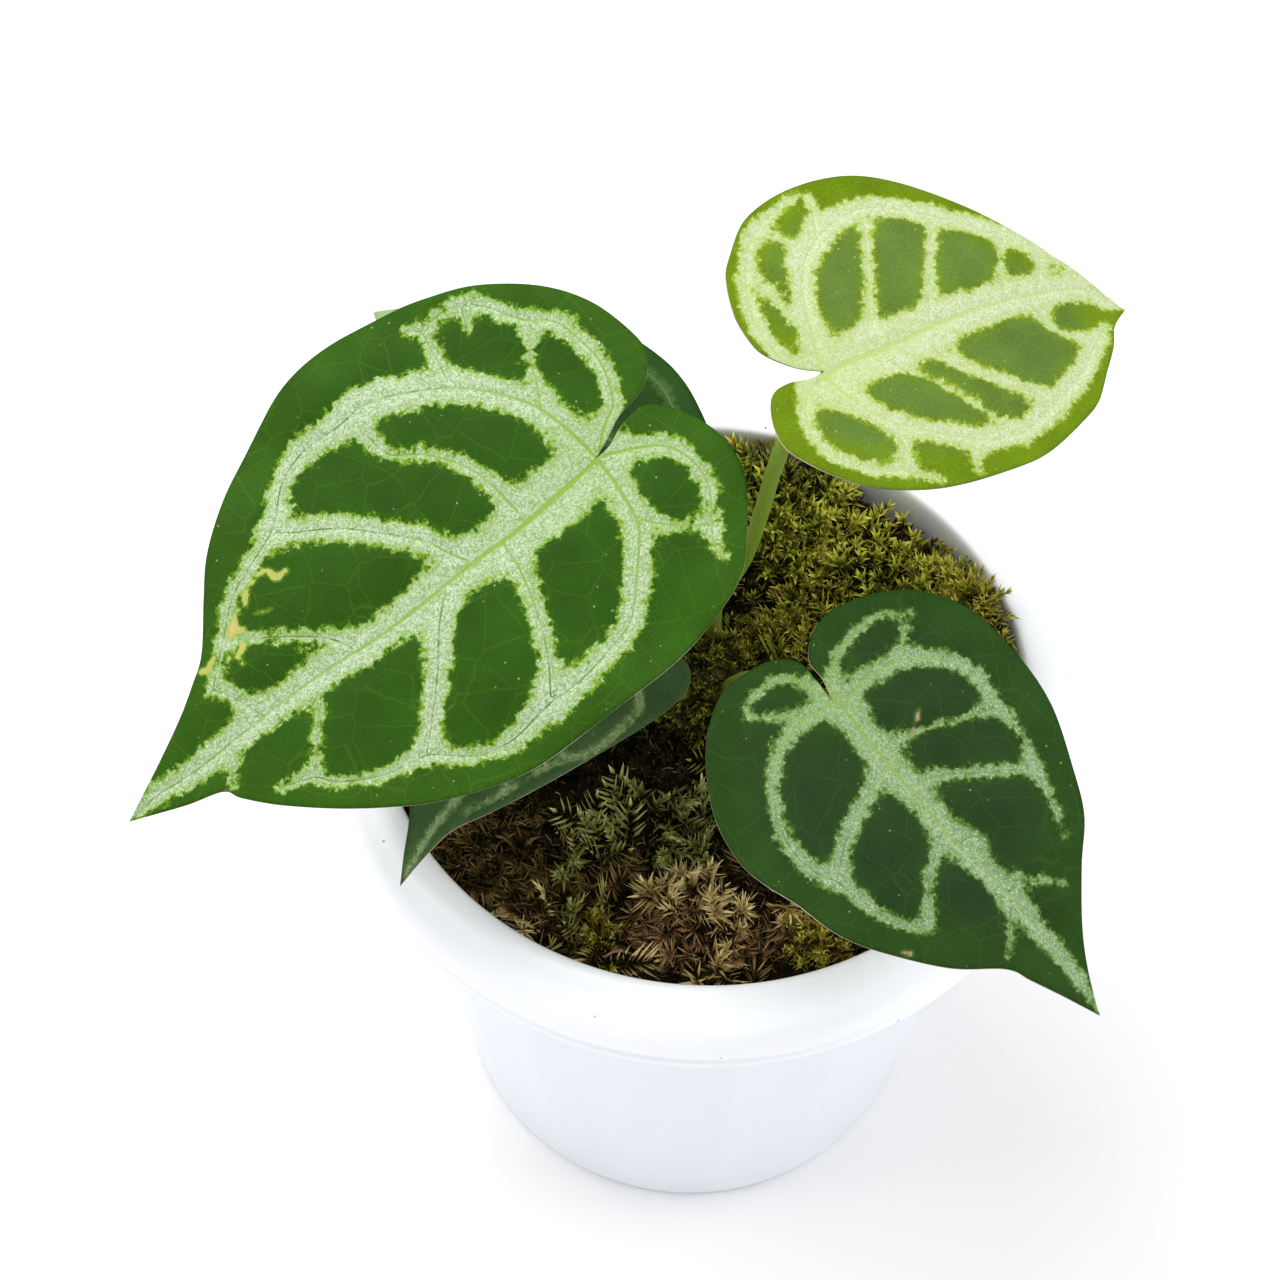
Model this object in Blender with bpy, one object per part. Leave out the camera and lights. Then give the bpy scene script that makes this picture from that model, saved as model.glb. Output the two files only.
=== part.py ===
"""A potted anthurium with silver-veined heart leaves, in a white plastic nursery pot.

Metres, +Z up. The origin is the centre of the pot's foot, on the pot's axis. The plant faces -Y.
Sizes below are in millimetres and are turned into metres where the meshes are made.
"""

import math
import random

import bpy
from mathutils import Vector
from mathutils.geometry import delaunay_2d_cdt

MM = 0.001

# Pot: a tapered, softly faceted body under a broad hollow rim.
POT_HEIGHT = 135.0
POT_SEGMENTS = 36
BASE_RADIUS = 51.0
BODY_TOP_RADIUS = 65.2
BODY_TOP_Z = 117.4
RIM_RADIUS = 75.0
RIM_WIDEST_Z = 125.5
MOUTH_RADIUS = 64.0
WALL = 1.7
FLOOR = 2.2
FOOT_LIFT = 2.2
PAD_RADIUS = 18.0
FACETS = 18
FACET_DEPTH = 0.5
DRAIN_HOLES = 6
DRAIN_RADIUS = 3.5
DRAIN_CIRCLE = 32.0

# Growing medium and its cover of moss.
GAP = 0.35
MIX_TOP_Z = 120.2
MOSS_FOOT_Z = MIX_TOP_Z + GAP
MOSS_LEVEL_Z = 127.0
MOSS_RADIUS = 62.9
TUFT_ARMS = 5
TUFT_SPACING = 13.0
TUFT_SEED = 7

# Crown: the short stem that all leaf stalks leave.
CROWN_RADIUS = 7.6
CROWN_FOOT_Z = 112.0
CROWN_TOP_Z = 144.0
SOCKET_DEPTH = 5.0

# Blades and stalks.
BLADE_THICKNESS = 0.8
BLADE_SPACING = 5.2
MARGIN_SPACING = 3.6
MIDRIB_CREASE = 1.0
WAVE_HEIGHT = 1.1
WAVE_LENGTH = 36.0
STALK_RADIUS = 1.5
STALK_BASE_RADIUS = 1.9
KNUCKLE_RADIUS = 2.0
STALK_SIDES = 8

# Each blade: its stalk's end, the compass angle and the downward slope of its midrib, its roll,
# how much it sags towards the tip, behind the stalk and at the sides, and its outline.
# An outline runs from the notch round the right lobe, the tip and the left lobe back to the notch,
# in millimetres along the midrib and across it.
LEAVES = {
    "leaf_1": {
        "junction": (-21.3, 3.1, 205.0),
        "heading": 217.3,
        "slope": 14.0,
        "roll": 14.0,
        "sag": (0.0014, 0.0020, 0.0012),
        "stalk": [(-4.5, 0.0, 138.0), (-7.5, 4.5, 156.0), (-12.0, 8.0, 182.0)],
        "outline": [
            (0.2, -0.8), (-3.5, -2.4), (-7.8, -4.6), (-12, -5.6), (-15.5, -7.2), (-18.5, -11),
            (-19, -15.5), (-16.5, -25), (-11, -33), (-2, -40), (6.5, -44), (14, -46.5), (25, -48),
            (36.5, -46.5), (45, -43.5), (54.5, -38.5), (61, -34), (67, -29), (71.5, -23.5),
            (77.5, -15.5), (82, -12), (87.5, -8.5), (95.5, -4.5), (105.5, 0), (95.5, 4.5),
            (88.5, 7), (86.5, 10), (81.5, 15.5), (73.5, 22.5), (66, 28), (59.5, 32), (51, 35.5),
            (42, 37.8), (30, 38.4), (13.5, 38), (2, 36), (-7.5, 32.5), (-12.5, 27.5),
            (-17.5, 21), (-20.2, 15.5), (-20.4, 9.5), (-19, 4.2), (-16.5, -0.4), (-12.6, -3.6),
            (-7.5, -3.1), (-3.2, -1.2),
        ],
    },
    "leaf_2": {
        "junction": (18.1, 18.3, 214.0),
        "heading": 28.8,
        "slope": 8.0,
        "roll": -12.0,
        "sag": (0.0016, 0.0030, 0.0015),
        "stalk": [(2.0, 5.2, 138.0), (0.8, 9.4, 150.0), (6.2, 11.4, 165.0), (9.0, 13.3, 180.0),
                  (11.6, 15.4, 196.0)],
        "outline": [
            (0.5, 0.9), (-4.5, 3), (-9, 6.5), (-10.7, 10), (-11.2, 16), (-9.5, 23.5),
            (-6.5, 28), (-1.5, 33.5), (4.5, 37), (10.5, 38.6), (18, 38.6), (26.5, 37),
            (35.5, 33), (45, 26), (54, 16.5), (61.5, 6.8), (67, -0.5), (62.5, -3.6),
            (59.5, -8), (55, -13), (50.5, -18), (46, -20.8), (36.5, -25), (29, -26.7),
            (18, -27.2), (8.5, -26), (-1, -23), (-7, -19), (-11, -15), (-13.3, -11.5),
            (-13.6, -7.5), (-12.5, -3.5), (-10.5, -0.5), (-7, 0.5), (-3, 0.2),
        ],
    },
    "leaf_3": {
        "junction": (23.0, -31.0, 185.0),
        "heading": -45.7,
        "slope": 10.0,
        "roll": -5.0,
        "sag": (0.0015, 0.0020, 0.0010),
        "stalk": [(3.3, -3.0, 138.0), (8.0, -9.0, 154.0), (15.5, -21.0, 172.0)],
        "outline": [
            (0.3, -0.6), (-4, -0.4), (-8.3, -0.3), (-11.2, -2.4), (-12.8, -6.5), (-12.8, -15.5),
            (-7, -24), (2.5, -30.5), (11.5, -32.8), (18, -32.3), (25, -30.2), (32, -28.4),
            (39, -24.6), (49.5, -16.5), (56, -8.4), (60, -6.2), (66, -3), (72, 0),
            (65, 3.3), (58.5, 7.5), (50.5, 14.5), (44, 21), (36, 25.2), (25, 29.8), (14, 31.6),
            (4, 31), (-4, 26.7), (-9.5, 20.5), (-12.6, 11.5), (-11.8, 5.5), (-8.2, 1.2),
            (-4, 0.7),
        ],
    },
    "leaf_4": {
        "junction": (-28.6, -13.8, 166.0),
        "heading": 240.4,
        "slope": 10.0,
        "roll": 6.0,
        "sag": (0.0022, 0.0020, 0.0015),
        "stalk": [(-1.8, -4.2, 138.0), (-8.0, -8.0, 148.0), (-19.0, -11.0, 157.0)],
        "outline": [
            (0.3, -0.7), (-4, -0.9), (-8, -2), (-11.6, -6), (-11.6, -15), (-5, -22.5), (5, -25.2),
            (16, -22.3), (26, -16), (34, -9.5), (40, -5.4), (46, -2.6), (51.2, 0), (45, 0.9),
            (38, 2.6), (32.5, 6.3), (26.5, 10), (19.5, 13.8), (10, 18.5), (2.5, 22),
            (-3.5, 24.2), (-8.5, 24.6), (-12, 22.3), (-12.8, 17), (-12, 8), (-8, 1.2), (-4, 0.5),
        ],
    },
    "leaf_5": {
        "junction": (-15.1, 29.0, 172.0),
        "heading": 145.9,
        "slope": 4.0,
        "roll": 6.0,
        "sag": (0.0010, 0.0020, 0.0012),
        "stalk": [(-1.8, 4.2, 138.0), (-4.0, 11.0, 149.0), (-9.5, 21.5, 162.0)],
        "outline": [
            (0.3, -0.7), (-4, -0.8), (-8, -1.2), (-10, -5), (-8.5, -10.8), (-3, -15),
            (3.5, -18.5), (10.5, -20.5), (20, -21), (32, -19), (44, -14.4), (55, -8.8),
            (63, -4.2), (69, 0), (62, 4.6), (54, 9.2), (44, 14.4), (32, 18.8), (20, 21.2),
            (10, 21.6), (1, 19.6), (-6, 15.8), (-10.6, 10), (-11, 4.6), (-8, 0.9), (-4, 0.6),
        ],
    },
}


def make_material(name, colour, roughness):
    material = bpy.data.materials.new(name)
    material.use_nodes = True
    shader = material.node_tree.nodes["Principled BSDF"]
    shader.inputs["Base Color"].default_value = (*colour, 1.0)
    shader.inputs["Roughness"].default_value = roughness
    shader.inputs["Metallic"].default_value = 0.0
    material.diffuse_color = (*colour, 1.0)
    return material


def add_object(name, points, faces, material):
    """An object from points in millimetres."""
    mesh = bpy.data.meshes.new(name)
    mesh.from_pydata([Vector(p) * MM for p in points], [], faces)
    mesh.materials.append(material)
    mesh.update()
    part = bpy.data.objects.new(name, mesh)
    bpy.context.scene.collection.objects.link(part)
    return part


def apply_boolean(part, operation, solver, other=None, collection=None):
    """Cuts or joins, keeps the result as the part's own mesh and removes what was used for it."""
    modifier = part.modifiers.new("join", "BOOLEAN")
    modifier.operation = operation
    modifier.solver = solver
    if collection:
        modifier.operand_type = "COLLECTION"
        modifier.collection = collection
        used = list(collection.objects)
    else:
        modifier.object = other
        used = [other]
    graph = bpy.context.evaluated_depsgraph_get()
    joined = bpy.data.meshes.new_from_object(part.evaluated_get(graph))
    part.modifiers.remove(modifier)
    before = part.data
    part.data = joined
    part.data.name = part.name
    bpy.data.meshes.remove(before)
    for helper in used:
        bpy.data.objects.remove(helper, do_unlink=True)
    if collection:
        bpy.data.collections.remove(collection)


# Pot

def facet_dent(angle, z):
    """How far the body's wall lies inside its circle, in the middle of a facet."""
    if z <= FOOT_LIFT or z > BODY_TOP_Z:
        return 0.0
    across = (angle * FACETS / math.tau) % 1.0
    return FACET_DEPTH * (1.0 - (2.0 * across - 1.0) ** 2)


def pot_profile():
    """The wall's section as a closed loop of (radius, height), from the foot's centre outwards."""
    groove_in = BODY_TOP_RADIUS + 0.9
    groove_out = RIM_RADIUS - 2.9
    outside = [
        (0.0, 0.0), (PAD_RADIUS, 0.0), (PAD_RADIUS + 2.0, FOOT_LIFT),
        (BASE_RADIUS - 7.5, FOOT_LIFT), (BASE_RADIUS - 6.0, 0.0), (BASE_RADIUS - 0.8, 0.0),
        (BASE_RADIUS, 0.8), (BASE_RADIUS + 0.45, FOOT_LIFT + 1.5),
        (BODY_TOP_RADIUS, BODY_TOP_Z),
    ]
    rim = [
        (groove_in, BODY_TOP_Z + 1.6), (groove_in + 0.3, 129.5), (69.0, 131.2),
        (groove_out - 0.7, 129.0), (groove_out, 124.5), (groove_out - 1.3, 119.6),
        (71.4, 118.4), (72.6, 119.2), (73.0, 120.6), (74.3, 122.4), (RIM_RADIUS, RIM_WIDEST_Z),
        (74.4, 128.9), (72.4, 132.0), (69.3, 134.2), (66.4, POT_HEIGHT), (64.6, 134.7),
    ]
    inside = [
        (MOUTH_RADIUS, 133.4), (BODY_TOP_RADIUS - WALL, BODY_TOP_Z),
        (BASE_RADIUS + 0.6 - WALL, FOOT_LIFT + FLOOR + 1.0), (BASE_RADIUS - 2.2, FOOT_LIFT + FLOOR),
        (0.0, FOOT_LIFT + FLOOR),
    ]
    return outside + rim + inside


def lathe(name, profile, segments, material, dent=None):
    """Turns a closed profile whose first and last points lie on the axis."""
    points = [(0.0, 0.0, profile[0][1]), (0.0, 0.0, profile[-1][1])]
    rings = profile[1:-1]
    for radius, z in rings:
        for step in range(segments):
            angle = math.tau * step / segments
            r = radius - (dent(angle, z) if dent else 0.0)
            points.append((r * math.cos(angle), r * math.sin(angle), z))
    faces = []
    last = len(rings) - 1
    for step in range(segments):
        after = (step + 1) % segments
        faces.append((0, 2 + after, 2 + step))
        for ring in range(last):
            low = 2 + ring * segments
            high = low + segments
            faces.append((low + step, low + after, high + after, high + step))
        top = 2 + last * segments
        faces.append((1, top + step, top + after))
    return add_object(name, points, faces, material)


def drain_cutter(index):
    """A short rod through the pot's raised floor."""
    angle = math.tau * (index + 0.5) / DRAIN_HOLES
    low = FOOT_LIFT - 2.0
    high = FOOT_LIFT + FLOOR + 2.0
    profile = [(0.0, low), (DRAIN_RADIUS, low), (DRAIN_RADIUS, high), (0.0, high)]
    rod = lathe(f"drain_{index}", profile, 12, None)
    rod.location = Vector((math.cos(angle), math.sin(angle), 0.0)) * DRAIN_CIRCLE * MM
    return rod


def make_pot(material):
    pot = lathe("pot", pot_profile(), POT_SEGMENTS, material, facet_dent)
    holes = bpy.data.collections.new("drains")
    bpy.context.scene.collection.children.link(holes)
    for index in range(DRAIN_HOLES):
        rod = drain_cutter(index)
        bpy.context.scene.collection.objects.unlink(rod)
        holes.objects.link(rod)
    bpy.context.view_layer.update()
    apply_boolean(pot, "DIFFERENCE", "EXACT", collection=holes)
    return pot


def make_mix(material):
    """Fills the pot up to the moss, with a plain hole for the crown."""
    foot = FOOT_LIFT + FLOOR + GAP
    wall_foot = BASE_RADIUS - WALL - GAP - FACET_DEPTH - 0.3
    wall_top = BODY_TOP_RADIUS - WALL - GAP - FACET_DEPTH - 0.1
    hole = crown_radius(CROWN_FOOT_Z) + 0.6
    profile = [
        (0.0, foot), (wall_foot - 2.0, foot), (wall_foot, foot + 1.8), (wall_top, MIX_TOP_Z - 4.0),
        (wall_top, MIX_TOP_Z), (crown_radius(MIX_TOP_Z) + 0.6, MIX_TOP_Z),
        (hole, CROWN_FOOT_Z - GAP), (0.0, CROWN_FOOT_Z - GAP),
    ]
    return lathe("potting_mix", profile, POT_SEGMENTS, material)


# Moss

def mound(x, y):
    """The height of the moss bed, highest against the back and right of the rim."""
    swell = 1.3 * math.sin(x / 9.0 + 0.7) * math.cos(y / 8.0) + 0.8 * math.sin(x / 4.7 - y / 5.9)
    back = 7.0 * math.exp(-((x - 14.0) ** 2 + (y - 50.0) ** 2) / 320.0)
    right = 9.0 * math.exp(-((x - 57.0) ** 2 + (y - 22.0) ** 2) / 220.0)
    left = 2.5 * math.exp(-((x + 40.0) ** 2 + (y - 10.0) ** 2) / 500.0)
    front = 1.5 * math.exp(-(x ** 2 + (y + 48.0) ** 2) / 420.0)
    return MOSS_LEVEL_Z + swell + back + right + left - front


def moss_bed(material):
    rings = 8
    steps = 32
    inner = CROWN_RADIUS + 1.1
    points = []
    for ring in range(rings + 1):
        radius = inner + (MOSS_RADIUS - inner) * ring / rings
        for step in range(steps):
            angle = math.tau * (step + 0.5 * (ring % 2)) / steps
            x, y = radius * math.cos(angle), radius * math.sin(angle)
            edge = 2.2 if ring == rings else 0.0
            points.append((x, y, mound(x, y) - edge))
    floor = len(points)
    for radius in (MOSS_RADIUS, inner):
        for step in range(steps):
            angle = math.tau * (step + 0.5 * (rings % 2)) / steps
            points.append((radius * math.cos(angle), radius * math.sin(angle), MOSS_FOOT_Z))
    faces = []
    for ring in range(rings):
        low = ring * steps
        high = low + steps
        for step in range(steps):
            after = (step + 1) % steps
            if ring % 2:
                faces += [(low + step, high + step, high + after),
                          (low + step, high + after, low + after)]
            else:
                faces += [(low + step, high + step, low + after),
                          (high + step, high + after, low + after)]
    rim = rings * steps
    for step in range(steps):
        after = (step + 1) % steps
        faces.append((rim + step, floor + step, floor + after, rim + after))
        faces.append((floor + step, floor + steps + step, floor + steps + after, floor + after))
        faces.append((floor + steps + step, step, after, floor + steps + after))
    return add_object("moss", points, faces, material)


def tuft(name, x, y, size, height, turn):
    """A star of leafy arms: peaks and valleys in turn round a raised middle, with a sunk root."""
    z = mound(x, y)
    points = [(x, y, z + 0.75 * height)]
    for arm in range(TUFT_ARMS):
        tip = turn + math.tau * arm / TUFT_ARMS
        valley = tip + math.pi / TUFT_ARMS
        points.append((x + size * math.cos(tip), y + size * math.sin(tip), z + height))
        points.append((x + 0.36 * size * math.cos(valley), y + 0.36 * size * math.sin(valley),
                       z + 0.42 * height))
    for arm in range(TUFT_ARMS):
        valley = turn + math.tau * (arm + 0.5) / TUFT_ARMS
        points.append((x + 0.42 * size * math.cos(valley), y + 0.42 * size * math.sin(valley),
                       z - 3.4))
    around = 2 * TUFT_ARMS
    faces = []
    for arm in range(TUFT_ARMS):
        tip = 1 + 2 * arm
        valley = tip + 1
        next_tip = 1 + (2 * arm + 2) % around
        before = 1 + (2 * arm - 1) % around
        root = 1 + around + arm
        root_before = 1 + around + (arm - 1) % TUFT_ARMS
        faces += [(0, tip, valley), (0, valley, next_tip)]
        faces += [(tip, before, root_before), (tip, root_before, root), (tip, root, valley)]
    faces.append(tuple(1 + around + arm for arm in reversed(range(TUFT_ARMS))))
    return add_object(name, points, faces, None)


def tuft_places():
    """A jittered hexagonal layout over the bed, clear of the crown and inside the pot's mouth."""
    draw = random.Random(TUFT_SEED)
    places = []
    rows = int(MOSS_RADIUS / (TUFT_SPACING * 0.866)) + 1
    for row in range(-rows, rows + 1):
        for column in range(-rows - 1, rows + 2):
            x = (column + 0.5 * (row % 2)) * TUFT_SPACING + draw.uniform(-1.6, 1.6)
            y = row * TUFT_SPACING * 0.866 + draw.uniform(-1.6, 1.6)
            size = draw.uniform(7.0, 9.0)
            height = draw.uniform(4.6, 7.0)
            turn = draw.uniform(0.0, math.tau)
            reach = math.hypot(x, y)
            if reach < CROWN_RADIUS + 8.0 or reach > MOSS_RADIUS - 3.0:
                continue
            size = min(size, MOSS_RADIUS - reach + 0.6)
            if size > 2.6:
                places.append((x, y, size, height, turn))
    return places


def make_moss(material):
    bed = moss_bed(material)
    tufts = bpy.data.collections.new("tufts")
    bpy.context.scene.collection.children.link(tufts)
    for index, place in enumerate(tuft_places()):
        star = tuft(f"tuft_{index}", *place)
        bpy.context.scene.collection.objects.unlink(star)
        tufts.objects.link(star)
    apply_boolean(bed, "UNION", "MANIFOLD", collection=tufts)
    return bed


# Plant

def crown_radius(z):
    """The crown's outline: a stub in the mix that swells above the moss and closes over."""
    stations = [(CROWN_FOOT_Z, 4.6), (120.0, 6.2), (130.0, 7.2), (137.0, CROWN_RADIUS),
                (141.5, 6.6), (CROWN_TOP_Z, 4.4)]
    for (low, wide), (high, wide_high) in zip(stations, stations[1:]):
        if z <= high:
            return wide + (wide_high - wide) * (z - low) / (high - low)
    return stations[-1][1]


def leaf_axes(leaf):
    """Unit vectors along the midrib, to the blade's left, and out of its upper face."""
    heading = math.radians(leaf["heading"])
    slope = math.radians(leaf["slope"])
    roll = math.radians(leaf["roll"])
    along = Vector((math.cos(heading) * math.cos(slope), math.sin(heading) * math.cos(slope),
                    -math.sin(slope)))
    level = Vector((-math.sin(heading), math.cos(heading), 0.0))
    upright = along.cross(level)
    left = math.cos(roll) * level - math.sin(roll) * upright
    out = math.sin(roll) * level + math.cos(roll) * upright
    return along, left, out


def blade_height(leaf, x, y):
    """The blade's sag, its crease along the midrib and the waves at its sides."""
    to_tip, behind, sideways = leaf["sag"]
    sag = (to_tip if x > 0.0 else behind) * x * x + sideways * y * y
    crease = MIDRIB_CREASE * (1.0 - math.exp(-(y / 6.0) ** 2))
    wave = WAVE_HEIGHT * math.sin(math.tau * x / WAVE_LENGTH + 0.1 * y) * (y / 40.0) ** 2
    return crease + wave - sag


def leaf_point(leaf, x, y, lower=0.0):
    along, left, out = leaf_axes(leaf)
    height = blade_height(leaf, x, y) - lower
    return Vector(leaf["junction"]) + x * along + y * left + height * out


def smooth_outline(control, spacing):
    """An even Catmull-Rom run through the control points, with the tip kept sharp."""
    tip = max(range(len(control)), key=lambda i: control[i][0])
    result = []
    count = len(control)
    for i in range(count):
        a, b, c, d = (Vector(control[(i + k) % count]) for k in (-1, 0, 1, 2))
        if i == tip or i == 0:
            a = b
        if (i + 1) % count in (tip, 0):
            d = c
        pieces = max(1, round((c - b).length / spacing))
        for piece in range(pieces):
            t = piece / pieces
            result.append(0.5 * ((2 * b) + (c - a) * t + (2 * a - 5 * b + 4 * c - d) * t * t
                                 + (3 * b - a - 3 * c + d) * t ** 3))
    return result


def inside_outline(outline, x, y):
    """Whether a point lies inside the closed outline."""
    odd = False
    for a, b in zip(outline, outline[1:] + outline[:1]):
        if (a.y > y) != (b.y > y) and x < a.x + (y - a.y) * (b.x - a.x) / (b.y - a.y):
            odd = not odd
    return odd


def blade_grid(outline, spacing):
    """Points inside the outline, in rows along the midrib, that keep clear of the margin."""
    grid = []
    low = min(p.x for p in outline)
    high = max(p.x for p in outline)
    widest = max(abs(p.y) for p in outline)
    rows = int(widest / (0.866 * spacing)) + 1
    for row in range(-rows, rows + 1):
        y = row * 0.866 * spacing
        x = low + 0.5 * spacing * (row % 2)
        while x < high:
            near = min((p - Vector((x, y))).length for p in outline)
            if near > 0.55 * spacing and inside_outline(outline, x, y):
                grid.append(Vector((x, y)))
            x += spacing
    return grid


def make_blade(name, leaf, material):
    outline = smooth_outline(leaf["outline"], MARGIN_SPACING)
    flat = outline + blade_grid(outline, BLADE_SPACING)
    ring = list(range(len(outline)))
    flat, _, triangles, *_ = delaunay_2d_cdt(flat, [], [ring], 1, 1e-6)
    upper = [leaf_point(leaf, p.x, p.y) for p in flat]
    lower = [leaf_point(leaf, p.x, p.y, BLADE_THICKNESS) for p in flat]
    count = len(flat)
    faces = []
    edges = {}
    for triangle in triangles:
        a, b, c = triangle
        turn = (flat[b] - flat[a]).cross(flat[c] - flat[a])
        if turn < 0.0:
            b, c = c, b
        faces.append((a, b, c))
        faces.append((a + count, c + count, b + count))
        for start, end in ((a, b), (b, c), (c, a)):
            edges[(start, end)] = True
    for start, end in edges:
        if (end, start) not in edges:
            faces.append((end, start, start + count))
            faces.append((end, start + count, end + count))
    return add_object(name, upper + lower, faces, material)


def stalk_route(leaf):
    """Centre line of a leaf stalk, from its socket in the crown to just under the blade."""
    out = leaf_axes(leaf)[2]
    seat = leaf_point(leaf, 1.6, 0.0, BLADE_THICKNESS + GAP)
    points = [Vector(p) for p in leaf["stalk"]]
    below = seat - 5.0 * out
    points += [below + 0.45 * (points[-1] - below), seat - 3.0 * out, seat]
    route = []
    for i in range(len(points) - 1):
        a = points[max(i - 1, 0)]
        b, c = points[i], points[i + 1]
        d = points[min(i + 2, len(points) - 1)]
        pieces = max(1, round((c - b).length / 6.5))
        for piece in range(pieces):
            t = piece / pieces
            route.append(0.5 * ((2 * b) + (c - a) * t + (2 * a - 5 * b + 4 * c - d) * t * t
                                + (3 * b - a - 3 * c + d) * t ** 3))
    return route + [points[-1]]


def tube(name, route, radii, sides, material, end_direction=None):
    """A closed tube of round sections along a route."""
    points = []
    faces = []
    side = Vector((1.0, 0.0, 0.0))
    for i, centre in enumerate(route):
        ahead = route[min(i + 1, len(route) - 1)] - route[max(i - 1, 0)]
        if end_direction is not None and i == len(route) - 1:
            ahead = end_direction
        ahead = ahead.normalized()
        side = (side - side.dot(ahead) * ahead).normalized()
        across = ahead.cross(side)
        for step in range(sides):
            angle = math.tau * step / sides
            points.append(centre + radii[i] * (math.cos(angle) * side + math.sin(angle) * across))
    for ring in range(len(route) - 1):
        low = ring * sides
        high = low + sides
        for step in range(sides):
            after = (step + 1) % sides
            faces.append((low + step, low + after, high + after, high + step))
    faces.append(tuple(reversed(range(sides))))
    faces.append(tuple((len(route) - 1) * sides + step for step in range(sides)))
    return add_object(name, points, faces, material)


def stalk_radii(route, extra=0.0):
    """Thicker at the crown, slim along its length, and swollen at the knuckle under the blade."""
    total = sum((b - a).length for a, b in zip(route, route[1:]))
    radii = []
    run = 0.0
    for i, point in enumerate(route):
        if i:
            run += (point - route[i - 1]).length
        base = math.exp(-run / 9.0)
        knuckle = math.exp(-((total - run) / 5.0) ** 2)
        radius = STALK_RADIUS + (STALK_BASE_RADIUS - STALK_RADIUS) * base
        radii.append(radius + (KNUCKLE_RADIUS - STALK_RADIUS) * knuckle + extra)
    return radii


def make_stalks_and_crown(stalk_material, crown_material):
    """The stalks stand in plain holes in the crown."""
    stations = [CROWN_FOOT_Z, 120.0, 130.0, 137.0, 141.5, CROWN_TOP_Z]
    profile = [(0.0, CROWN_FOOT_Z)] + [(crown_radius(z), z) for z in stations]
    profile.append((0.0, CROWN_TOP_Z + 0.6))
    crown = lathe("crown", profile, 16, crown_material)
    sockets = bpy.data.collections.new("sockets")
    bpy.context.scene.collection.children.link(sockets)
    for number, leaf in enumerate(LEAVES.values(), start=1):
        route = stalk_route(leaf)
        out = leaf_axes(leaf)[2]
        radii = stalk_radii(route)
        tube(f"petiole_{number}", route, radii, STALK_SIDES, stalk_material, out)
        down = (route[0] - route[1]).normalized()
        hole = [route[0] + 0.5 * down] + route[:4]
        width = [radii[0] + GAP] + [r + GAP for r in radii[:4]]
        cutter = tube(f"socket_{number}", hole, width, 12, None)
        bpy.context.scene.collection.objects.unlink(cutter)
        sockets.objects.link(cutter)
    apply_boolean(crown, "DIFFERENCE", "EXACT", collection=sockets)
    return crown


def build():
    for item in list(bpy.data.objects):
        bpy.data.objects.remove(item, do_unlink=True)
    plastic = make_material("white plastic", (0.86, 0.87, 0.87), 0.32)
    mix = make_material("potting mix", (0.075, 0.05, 0.035), 0.95)
    green_moss = make_material("moss", (0.2, 0.24, 0.07), 0.95)
    bark = make_material("crown", (0.2, 0.19, 0.09), 0.8)
    stalk = make_material("stalk", (0.3, 0.36, 0.16), 0.5)
    greens = {
        "leaf_1": (0.16, 0.32, 0.14),
        "leaf_2": (0.33, 0.5, 0.16),
        "leaf_3": (0.07, 0.2, 0.08),
        "leaf_4": (0.1, 0.2, 0.1),
        "leaf_5": (0.08, 0.2, 0.08),
    }
    make_pot(plastic)
    make_mix(mix)
    make_moss(green_moss)
    make_stalks_and_crown(stalk, bark)
    for name, leaf in LEAVES.items():
        make_blade(name, leaf, make_material(name, greens[name], 0.45))


build()
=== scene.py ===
# %% [markdown]
# # A potted anthurium with silver veins
# Heart-shaped velvet leaves on slim stalks rise from a short crown. The crown stands in moss that covers
# the potting mix of a white plastic nursery pot. The solids of the part are loaded first, and every piece
# made here takes the place of one of them, in the same frame: metres, +Z up, the pot's foot at the origin.

# %% Load the solids
import math
import random

import bpy
import numpy as np
from mathutils import Matrix, Vector
from mathutils.geometry import delaunay_2d_cdt


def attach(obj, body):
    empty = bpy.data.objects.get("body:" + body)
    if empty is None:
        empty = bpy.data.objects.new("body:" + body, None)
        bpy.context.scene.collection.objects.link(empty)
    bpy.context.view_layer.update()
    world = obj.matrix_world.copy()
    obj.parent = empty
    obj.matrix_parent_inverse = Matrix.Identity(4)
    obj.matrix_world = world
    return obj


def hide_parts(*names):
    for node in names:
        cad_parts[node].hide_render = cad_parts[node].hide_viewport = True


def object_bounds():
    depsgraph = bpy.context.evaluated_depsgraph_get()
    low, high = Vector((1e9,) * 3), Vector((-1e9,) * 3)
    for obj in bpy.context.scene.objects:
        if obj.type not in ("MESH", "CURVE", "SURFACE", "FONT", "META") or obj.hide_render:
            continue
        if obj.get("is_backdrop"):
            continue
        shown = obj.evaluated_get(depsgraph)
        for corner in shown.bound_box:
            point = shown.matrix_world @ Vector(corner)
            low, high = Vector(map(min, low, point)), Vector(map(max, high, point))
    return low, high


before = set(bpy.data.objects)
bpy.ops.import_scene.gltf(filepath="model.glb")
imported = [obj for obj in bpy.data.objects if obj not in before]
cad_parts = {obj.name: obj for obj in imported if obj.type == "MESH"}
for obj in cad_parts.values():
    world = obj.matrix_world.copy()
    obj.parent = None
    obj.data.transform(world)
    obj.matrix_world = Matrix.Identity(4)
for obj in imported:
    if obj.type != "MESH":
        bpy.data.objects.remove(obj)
cad_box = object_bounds()
MM = 0.001
print("solids:", sorted(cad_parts))

# %% [markdown]
# ## Camera
# The plant was looked at from above and in front. The lens is a short portrait lens on a full-frame sensor.
# The camera's turn is built from three named angles: how far it looks down, how far it is turned aside and
# how far the picture leans. A rotation matrix made from them is plainer to check than quaternion values.

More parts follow.
